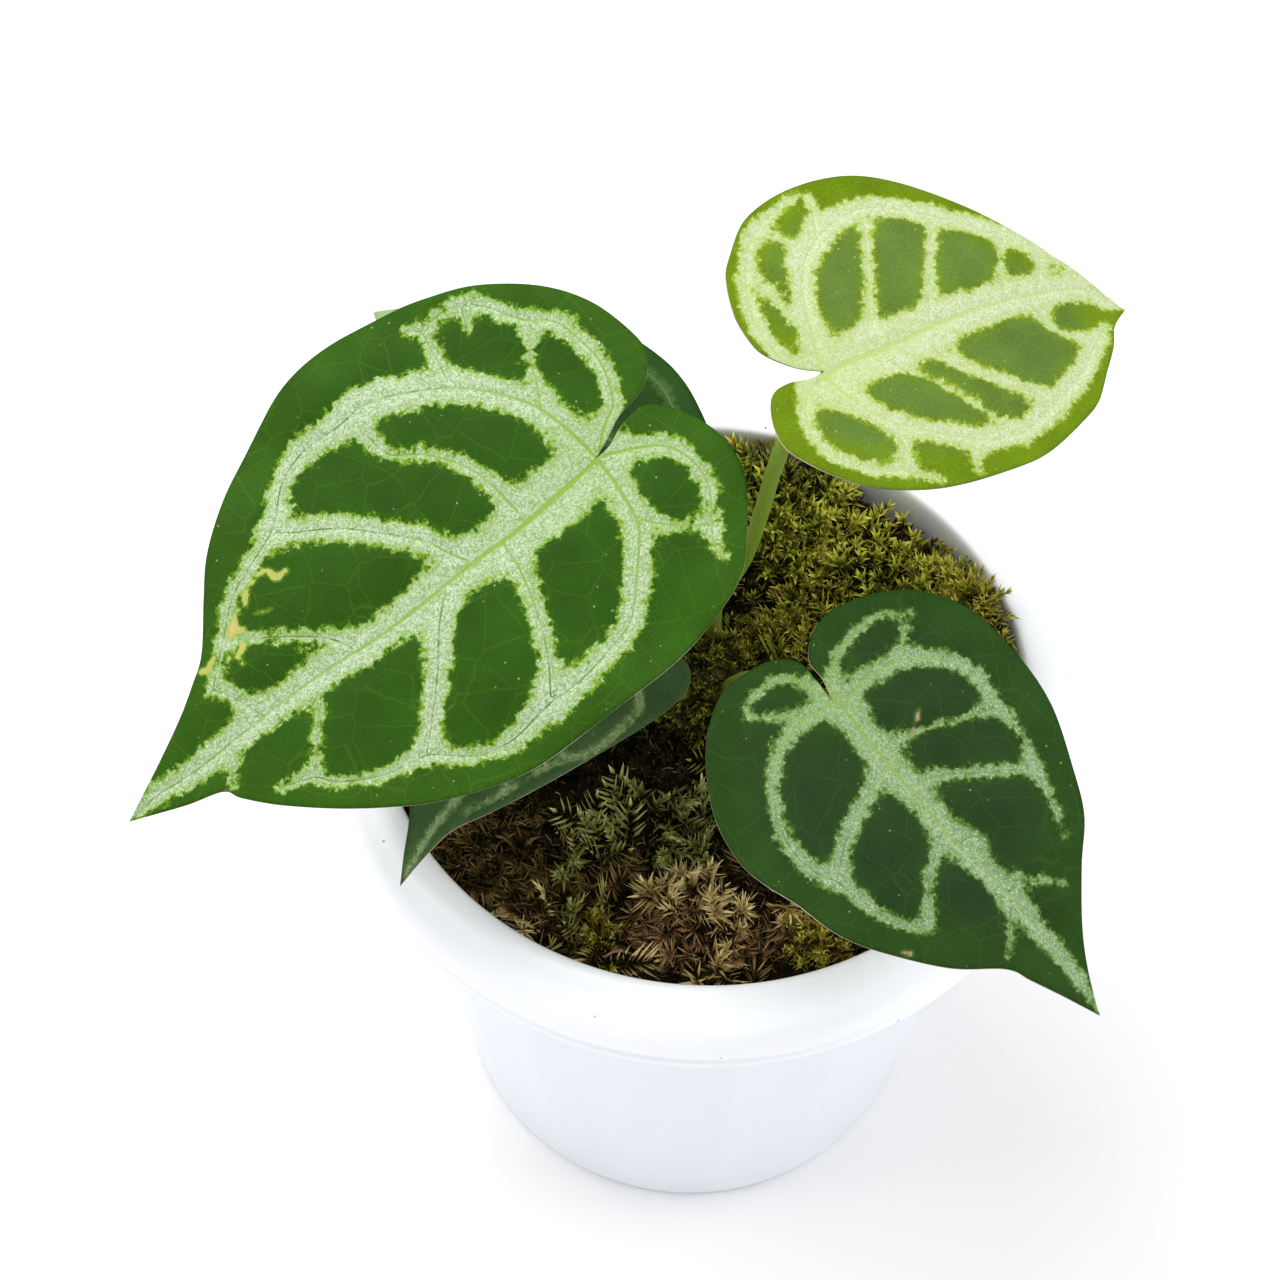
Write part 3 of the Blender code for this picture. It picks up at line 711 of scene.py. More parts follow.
# %% Starting and ending a mesh tree
def new_mesh_tree(name, kinds):
    """A Geometry Nodes tree, its inner input sockets, and the identifiers of its named inputs."""
    tree = bpy.data.node_groups.new(name, "GeometryNodeTree")
    titles = {}
    for title, kind in {"Ground": "Geometry", **kinds}.items():
        socket = tree.interface.new_socket(title, in_out="INPUT", socket_type="NodeSocket" + kind)
        titles[title] = socket.identifier
    tree.interface.new_socket("Result", in_out="OUTPUT", socket_type="NodeSocketGeometry")
    return tree, tree.nodes.new("NodeGroupInput").outputs, titles


def end_mesh_tree(tree, geometry, material):
    """Ends a tree with real mesh and a material, because the export drops instances."""
    real = add_node(tree, "GeometryNodeRealizeInstances", {"Geometry": geometry})
    dressed = add_node(tree, "GeometryNodeSetMaterial",
                       {"Geometry": real.outputs[0], "Material": material})
    feed(tree.nodes.new("NodeGroupOutput").inputs[0], dressed.outputs[0])


def run_mesh_tree(ground, tree, titles, values):
    """The plain mesh that a tree makes from a ground object, which is removed."""
    modifier = ground.modifiers.new(tree.name, "NODES")
    modifier.node_group = tree
    for title, value in values.items():
        modifier[titles[title]] = value
    mesh = plain_mesh(ground)
    remove(ground)
    return mesh


print("mesh trees can start and end")

# %% [markdown]
# ## A tree that grows moss
# Thousands of shoots are the work of one Geometry Nodes tree. It scatters points over the bed no closer than
# a set gap, thins them by a named patch value painted on the bed, and puts a shoot on each point: along the
# surface's normal with some lean, turned at random, and at a random size. Each shoot keeps a random number,
# "tone", for its colour. The tree ends with real mesh and a material.

# %% Moss growing tree
GROW_INPUTS = {"Shoot": "Object", "Patch": "String", "Gap": "Float", "Most": "Float", "Lean": "Float",
               "Small": "Float", "Large": "Float", "Seed": "Int", "Material": "Material"}
SPIN_SEED, SIZE_SEED, TONE_SEED = 5, 9, 13
grow_tree, given, grow_titles = new_mesh_tree("moss growing", GROW_INPUTS)


def random_value(tree, low, high, seed, data_type="FLOAT"):
    """A random number or vector for each point. Its sockets are found by their order."""
    vector = data_type == "FLOAT_VECTOR"
    first = 0 if vector else 2
    node = add_node(tree, "FunctionNodeRandomValue", {first: low, first + 1: high, 8: seed},
                    data_type=data_type)
    return node.outputs[0 if vector else 1]


patch = add_node(grow_tree, "GeometryNodeInputNamedAttribute", {"Name": given["Patch"]}, data_type="FLOAT")
scatter = add_node(grow_tree, "GeometryNodeDistributePointsOnFaces",
                   {"Mesh": given["Ground"], "Distance Min": given["Gap"], "Density Max": given["Most"],
                    "Density Factor": patch.outputs[0], "Seed": given["Seed"]},
                   distribute_method="POISSON")
wander = random_value(grow_tree, (-1, -1, -0.4), (1, 1, 0.4), given["Seed"], "FLOAT_VECTOR")
leaning = add_node(grow_tree, "ShaderNodeVectorMath", {0: wander, "Scale": given["Lean"]},
                   operation="SCALE")
way = add_node(grow_tree, "ShaderNodeVectorMath",
               {0: scatter.outputs["Normal"], 1: leaning.outputs[0]}, operation="ADD")
upright = add_node(grow_tree, "FunctionNodeAlignRotationToVector", {"Vector": way.outputs[0]}, axis="Z")
spin = random_value(grow_tree, (0, 0, 0), (0, 0, math.tau), SPIN_SEED, "FLOAT_VECTOR")
turned = add_node(grow_tree, "FunctionNodeRotateRotation",
                  {"Rotation": upright.outputs[0], "Rotate By": spin}, rotation_space="LOCAL")
size = random_value(grow_tree, given["Small"], given["Large"], SIZE_SEED)
shape = add_node(grow_tree, "GeometryNodeObjectInfo", {"Object": given["Shoot"]})
shoots = add_node(grow_tree, "GeometryNodeInstanceOnPoints",
                  {"Points": scatter.outputs["Points"], "Instance": shape.outputs["Geometry"],
                   "Rotation": turned.outputs[0], "Scale": size})
toned = add_node(grow_tree, "GeometryNodeStoreNamedAttribute",
                 {"Geometry": shoots.outputs[0], "Name": "tone",
                  "Value": random_value(grow_tree, 0.0, 1.0, TONE_SEED)},
                 domain="INSTANCE", data_type="FLOAT")
end_mesh_tree(grow_tree, toned.outputs[0], given["Material"])
print("moss growing inputs:", list(GROW_INPUTS))

# %% [markdown]
# The tree doesn't know the pot. So the tips that would pass through its wall are folded back afterwards, by
# the radius of the pot's mouth at each tip's height.

# %% Growing moss on the bed
# The radius that the moss keeps within, at four heights of the pot's mouth.
MOUTH_HEIGHTS = (117.4, 133.4, 134.7, 135.4)
MOUTH_RADII = (63.2, 63.7, 64.3, 66.7)
FOLD_BACK = 0.25
MOST_SHOOTS = 2.0e6


def tuck_inside(mesh):
    """Folds back the tips that would pass through the pot's wall."""
    points = np.empty((len(mesh.vertices), 3), np.float32)
    mesh.vertices.foreach_get("co", points.ravel())
    away = np.hypot(points[:, 0], points[:, 1])
    limit = np.interp(points[:, 2] / MM, MOUTH_HEIGHTS, MOUTH_RADII) * MM
    folded = np.where(away > limit, limit - FOLD_BACK * (away - limit), away)
    points[:, :2] *= (folded / np.maximum(away, 1e-6))[:, None]
    mesh.vertices.foreach_set("co", points.ravel())
    mesh.update()


def grow(shoot, patch_name, gap, lean, small, large, seed, material, ground=bed):
    """Shoots of one kind over one patch, as a plain mesh."""
    mesh = run_mesh_tree(into_scene("soil", ground.data), grow_tree, grow_titles,
                         {"Shoot": shoot, "Patch": patch_name, "Gap": gap * MM, "Most": MOST_SHOOTS,
                          "Lean": lean, "Small": small, "Large": large, "Seed": seed,
                          "Material": material})
    tuck_inside(mesh)
    return mesh


def moss_piece(name, meshes):
    """Joins the meshes of one piece of moss."""
    piece = join([into_scene(name, mesh) for mesh in meshes])
    piece.name = piece.data.name = name
    settle(piece, "moss")


print("moss can grow")

# %% [markdown]
# ## Where each kind of moss grows
# The moss isn't one lawn. Dark olive stars cover the back and the middle, with larger bright stars against
# the back of the rim. Fine yellow-green tufts swell over the right edge, the front left is a mat of dry brown
# threads, and the front middle has straw-coloured and grey-green feathers. Each patch is painted on the bed
# as a number from 0 to 1 made of soft round spots: their place, radius and strength.

# %% Patches painted on the bed
PATCHES = {
    "olive": [(0, 34, 26, 1.0), (34, 14, 22, 1.0), (18, 12, 16, 0.6), (-30, 20, 28, 0.9),
              (46, -12, 16, 0.9), (31, -21, 12, 0.6), (-46, -6, 16, 0.5), (8, -18, 8, 0.4)],
    "back": [(0, 47, 13, 1.0), (24, 42, 12, 1.0), (-22, 42, 12, 1.0), (42, 30, 10, 0.8),
             (-42, 24, 12, 0.7)],
    "bright": [(56, 22, 11, 1.0), (50, 34, 9, 0.9), (60, 6, 8, 1.0), (24, -52, 5, 1.0),
               (16, 20, 7, 0.6), (-18, -50, 5, 0.5), (-24, 46, 14, 0.8), (58, -14, 6, 0.7)],
    "plumes": [(-10, -28, 7, 1.0), (2, -31, 6, 0.9), (-20, -33, 6, 0.5), (30, -36, 7, 0.4),
               (-20, -48, 6, 0.35)],
    "straw": [(-2, -42, 5.5, 1.0), (8, -46, 5.5, 0.9), (-30, -52, 5, 0.5), (20, -44, 5, 0.4),
              (-14, -54, 5, 0.5), (4, -56, 4, 0.8), (-50, -30, 4, 0.7)],
    "rust": [(-4, -50, 8, 1.0), (10, -53, 7, 0.9), (18, -47, 6, 0.7), (9, 28, 4, 0.5),
             (-12, -45, 7, 0.5), (52, 12, 6, 0.3)],
    "dry": [(-38, -40, 14, 1.0), (-26, -44, 12, 1.0), (-50, -22, 12, 1.0), (-12, -38, 8, 0.4),
            (14, -38, 9, 0.5), (30, -46, 9, 0.5), (44, -36, 10, 0.5)],
    "under": [(0, 0, 90, 1.0)],
}
WIDE_PATCHES = ("olive", "back", "bright", "under")
WIDE_MARGIN, PATCH_MARGIN = 1.3, 1.0
CUSHION_BASE, CUSHION_SHARE, CUSHION_LEAST = 0.45, 1.2, 0.04
bed_x, bed_y = bed_points[:, 0], bed_points[:, 1]
on_top = np.arange(len(bed_points)) < len(bed_top) - steps
for title, spots in PATCHES.items():
    value = np.zeros(len(bed_points))
    for cx, cy, radius, strength in spots:
        away = ((bed_x - cx) ** 2 + (bed_y - cy) ** 2) / radius ** 2
        value = np.maximum(value, strength * np.exp(-away ** 2))
    margin = WIDE_MARGIN if title in WIDE_PATCHES else PATCH_MARGIN
    value[np.hypot(bed_x, bed_y) > MOSS_RADIUS - margin] = 0.0
    if title == "olive":
        value *= np.clip(CUSHION_BASE + CUSHION_SHARE * cushions(bed_x, bed_y), CUSHION_LEAST, 1.0)
    set_attribute(bed, title, np.where(on_top, np.clip(value, 0, 1), 0.0))
print("patches:", ", ".join(PATCHES))

# %% [markdown]
# ## Moss colours
# Every kind of moss shares one group: the colour goes from a dark base to a light tip, and each shoot wanders
# between two hues by its tone. A kind's material gives the group its own four colours.

# %% Moss tint group and materials
tint, tint_in, tint_out = new_group("moss tint", {"Tip": 0.5, "Tone": 0.5, "Tip Share": 0.6},
                                    ("Root", "First", "Second", "Ends"), {"Color": "Color"})
drift = 0.7 * tint_in["Tone"] + 0.3 * noise(tint_in["Place"], 120.0)
hue = blend(ramp(drift, 0.1, 0.9), tint_in["First"], tint_in["Second"])
body = blend(ramp(tint_in["Tip"], 0.0, 0.45), tint_in["Root"], hue)
ends = ramp(tint_in["Tip"], 0.4, 1.0) * tint_in["Tip Share"]
feed(tint_out["Color"], blend(ends, body, tint_in["Ends"]))

# Each kind's colour at the root, its two hues, the colour of the ends and how strong that is.
MOSS_TONES = {
    "olive": ((14, 13, 1), (82, 90, 12), (126, 122, 30), (196, 194, 88), 0.8),
    "star": ((28, 29, 3), (124, 136, 24), (168, 164, 48), (230, 226, 112), 0.85),
    "bright": ((48, 42, 6), (146, 138, 32), (178, 166, 54), (232, 222, 120), 0.75),
    "plume": ((28, 30, 6), (126, 130, 56), (166, 166, 90), (238, 234, 170), 0.85),
    "straw": ((76, 54, 22), (194, 166, 98), (226, 204, 136), (255, 244, 196), 0.85),
    "rust": ((42, 28, 13), (126, 92, 58), (158, 122, 78), (228, 196, 146), 0.7),
    # The under kind is a near-black copy of the olive kind: painted shade for the deep gaps between the
    # shoots.
    "under": ((7, 6, 1), (29, 27, 4), (48, 39, 8), (86, 78, 27), 0.6),
    "dry": ((28, 21, 7), (92, 73, 32), (134, 109, 57), (208, 184, 124), 0.6),
}


def moss_material(name, root, first, second, ends, share):
    material, tree, shader = new_material(name, {"Roughness": 0.75, "Specular IOR Level": 0.12})
    tinted = use_group(tree, tint, {"Place": object_place(tree), "Tip": attribute(tree, "tip"),
                                    "Tone": attribute(tree, "tone"), "Root": colour(*root),
                                    "First": colour(*first), "Second": colour(*second),
                                    "Ends": colour(*ends), "Tip Share": share})
    feed(shader.inputs["Base Color"], tinted["Color"])
    return material


moss = {kind: moss_material(kind + "_moss", *tones) for kind, tones in MOSS_TONES.items()}
print("moss materials:", list(moss))

# %% [markdown]
# ## The moss shoots
# Several shoots of each kind are scattered with different seeds, so that no pattern repeats.

# %% Shapes of the shoots
# A star: leaves, stem, reach, spread, droop, width, seed, and the twist where it isn't usual. A plume: pairs
# of leaves, stem, reach, width, curl, seed, and how far the leaves hook down. A strand: length, width, bends
# and seed.
SHOOTS = {
    "olive_star": (make_shoot, 12, 2.8, 3.6, 1.4, 0.05, 0.62, 1),
    "olive_tall": (make_shoot, 13, 5.0, 2.9, 1.15, 0.0, 0.56, 2, 2.0),
    "needle_star": (make_shoot, 12, 3.2, 2.3, 1.1, 0.0, 0.42, 3),
    "small_feather": (make_plume, 5, 4.6, 2.3, 0.48, 0.7, 4),
    "long_plume": (make_shoot, 22, 7.0, 3.6, 0.95, -0.05, 0.6, 5),
    "straw_plume": (make_plume, 9, 6.4, 2.9, 0.44, 1.2, 6, 0.5),
    "straw_star": (make_shoot, 18, 3.8, 4.4, 1.35, 0.15, 0.46, 7),
    "hook_plume": (make_plume, 6, 5.0, 2.8, 0.44, 1.4, 8, 0.9),
    "thread": (make_strand, 6.0, 0.16, 6, 9),
    "short_thread": (make_strand, 3.4, 0.22, 4, 10),
}
shapes = {name: maker(name, *sizes) for name, (maker, *sizes) in SHOOTS.items()}
print("shoot shapes:", list(shapes))

# %% Grow the moss
# For each piece: shoot, patch, gap in millimetres, lean, smallest and largest size, seed, kind of moss.
MOSS_ROWS = {
    # This layer of olive stars wears the near-black under colours, as painted shade deep in the moss.
    "moss_under": [("olive_star", "under", 2.3, 0.9, 0.7, 1.1, 10, "under"),
                   ("short_thread", "under", 2.6, 1.3, 0.6, 1.2, 23, "rust")],
    "moss_stars": [("olive_star", "olive", 2.3, 0.55, 0.7, 1.3, 11, "olive"),
                   ("olive_tall", "olive", 2.5, 0.45, 0.7, 1.25, 12, "olive"),
                   ("olive_star", "back", 1.9, 0.5, 1.0, 1.7, 24, "star")],
    "moss_feathers": [("small_feather", "olive", 2.6, 0.7, 0.8, 1.5, 13, "olive"),
                      ("long_plume", "plumes", 3.4, 0.6, 0.9, 1.5, 14, "plume"),
                      ("small_feather", "plumes", 3.2, 0.7, 0.9, 1.7, 15, "plume")],
    "moss_needles": [("needle_star", "bright", 1.2, 0.6, 0.9, 1.6, 16, "bright"),
                     ("small_feather", "bright", 2.2, 0.5, 0.7, 1.2, 17, "bright")],
    "moss_straw": [("straw_plume", "straw", 3.4, 0.8, 0.9, 1.5, 18, "straw"),
                   ("straw_star", "straw", 2.8, 0.5, 1.0, 1.6, 19, "straw"),
                   ("hook_plume", "rust", 1.8, 0.9, 0.7, 1.2, 20, "rust")],
    "moss_threads": [("thread", "dry", 0.95, 1.2, 0.5, 1.3, 21, "dry"),
                     ("hook_plume", "dry", 2.0, 1.0, 0.6, 1.2, 22, "dry")],
}
for name, rows in MOSS_ROWS.items():
    moss_piece(name, [grow(shapes[shoot], *sizes, moss[kind]) for shoot, *sizes, kind in rows])
for shoot in shapes.values():
    remove(shoot)

# %% [markdown]
# ## Leaves: measures
# Each leaf has the end of its stalk as its origin, a compass angle and a downward slope for its midrib, a
# roll, three amounts of sag, the points of its stalk and an outline. The outline runs from the notch round
# one lobe to the tip and back round the other. These are the same named values as the solids have.

# %% Leaf measures
LEAVES = {
    "leaf_1": {
        "junction": (-21.3, 3.1, 205.0), "heading": 217.3, "slope": 14.0, "roll": 14.0,
        "sag": (0.0014, 0.0020, 0.0012), "stalk": [(-4.5, 0.0, 138.0), (-7.5, 4.5, 156.0),
            (-12.0, 8.0, 182.0)],
        "outline": [(0.2, -0.8), (-3.5, -2.4), (-7.8, -4.6), (-12, -5.6), (-15.5, -7.2), (-18.5, -11),
            (-19, -15.5), (-16.5, -25), (-11, -33), (-2, -40), (6.5, -44), (14, -46.5), (25, -48),
            (36.5, -46.5), (45, -43.5), (54.5, -38.5), (61, -34), (67, -29), (71.5, -23.5), (77.5, -15.5),
            (82, -12), (87.5, -8.5), (95.5, -4.5), (105.5, 0), (95.5, 4.5), (88.5, 7), (86.5, 10),
            (81.5, 15.5), (73.5, 22.5), (66, 28), (59.5, 32), (51, 35.5), (42, 37.8), (30, 38.4), (13.5, 38),
            (2, 36), (-7.5, 32.5), (-12.5, 27.5), (-17.5, 21), (-20.2, 15.5), (-20.4, 9.5), (-19, 4.2),
            (-16.5, -0.4), (-12.6, -3.6), (-7.5, -3.1), (-3.2, -1.2)],
    },
    "leaf_2": {
        "junction": (18.1, 18.3, 214.0), "heading": 28.8, "slope": 8.0, "roll": -12.0,
        "sag": (0.0016, 0.0030, 0.0015), "stalk": [(2.0, 5.2, 138.0), (0.8, 9.4, 150.0), (6.2, 11.4, 165.0),
            (9.0, 13.3, 180.0), (11.6, 15.4, 196.0)],
        "outline": [(0.5, 0.9), (-4.5, 3), (-9, 6.5), (-10.7, 10), (-11.2, 16), (-9.5, 23.5), (-6.5, 28),
            (-1.5, 33.5), (4.5, 37), (10.5, 38.6), (18, 38.6), (26.5, 37), (35.5, 33), (45, 26), (54, 16.5),
            (61.5, 6.8), (67, -0.5), (62.5, -3.6), (59.5, -8), (55, -13), (50.5, -18), (46, -20.8),
            (36.5, -25), (29, -26.7), (18, -27.2), (8.5, -26), (-1, -23), (-7, -19), (-11, -15),
            (-13.3, -11.5), (-13.6, -7.5), (-12.5, -3.5), (-10.5, -0.5), (-7, 0.5), (-3, 0.2)],
    },
    "leaf_3": {
        "junction": (23.0, -31.0, 185.0), "heading": -45.7, "slope": 10.0, "roll": -5.0,
        "sag": (0.0015, 0.0020, 0.0010), "stalk": [(3.3, -3.0, 138.0), (8.0, -9.0, 154.0),
            (15.5, -21.0, 172.0)],
        "outline": [(0.3, -0.6), (-4, -0.4), (-8.3, -0.3), (-11.2, -2.4), (-12.8, -6.5), (-12.8, -15.5),
            (-7, -24), (2.5, -30.5), (11.5, -32.8), (18, -32.3), (25, -30.2), (32, -28.4), (39, -24.6),
            (49.5, -16.5), (56, -8.4), (60, -6.2), (66, -3), (72, 0), (65, 3.3), (58.5, 7.5), (50.5, 14.5),
            (44, 21), (36, 25.2), (25, 29.8), (14, 31.6), (4, 31), (-4, 26.7), (-9.5, 20.5), (-12.6, 11.5),
            (-11.8, 5.5), (-8.2, 1.2), (-4, 0.7)],
    },
    "leaf_4": {
        "junction": (-28.6, -13.8, 166.0), "heading": 240.4, "slope": 10.0, "roll": 6.0,
        "sag": (0.0022, 0.0020, 0.0015), "stalk": [(-1.8, -4.2, 138.0), (-8.0, -8.0, 148.0),
            (-19.0, -11.0, 157.0)],
        "outline": [(0.3, -0.7), (-4, -0.9), (-8, -2), (-11.6, -6), (-11.6, -15), (-5, -22.5), (5, -25.2),
            (16, -22.3), (26, -16), (34, -9.5), (40, -5.4), (46, -2.6), (51.2, 0), (45, 0.9), (38, 2.6),
            (32.5, 6.3), (26.5, 10), (19.5, 13.8), (10, 18.5), (2.5, 22), (-3.5, 24.2), (-8.5, 24.6),
            (-12, 22.3), (-12.8, 17), (-12, 8), (-8, 1.2), (-4, 0.5)],
    },
    "leaf_5": {
        "junction": (-15.1, 29.0, 172.0), "heading": 145.9, "slope": 4.0, "roll": 6.0,
        "sag": (0.0010, 0.0020, 0.0012), "stalk": [(-1.8, 4.2, 138.0), (-4.0, 11.0, 149.0),
            (-9.5, 21.5, 162.0)],
        "outline": [(0.3, -0.7), (-4, -0.8), (-8, -1.2), (-10, -5), (-8.5, -10.8), (-3, -15), (3.5, -18.5),
            (10.5, -20.5), (20, -21), (32, -19), (44, -14.4), (55, -8.8), (63, -4.2), (69, 0), (62, 4.6),
            (54, 9.2), (44, 14.4), (32, 18.8), (20, 21.2), (10, 21.6), (1, 19.6), (-6, 15.8), (-10.6, 10),
            (-11, 4.6), (-8, 0.9), (-4, 0.6)],
    },
}
print("leaves:", list(LEAVES))

# %% [markdown]
# ## Veins
# A vein is a smooth line with a half-width of silver that changes along it. The points are millimetres along
# the midrib and across it, measured from the stalk's end. The big loops on each side of the midrib are the
# collective veins; short cross veins tie them to the midrib, and thin loops run round the lobes.

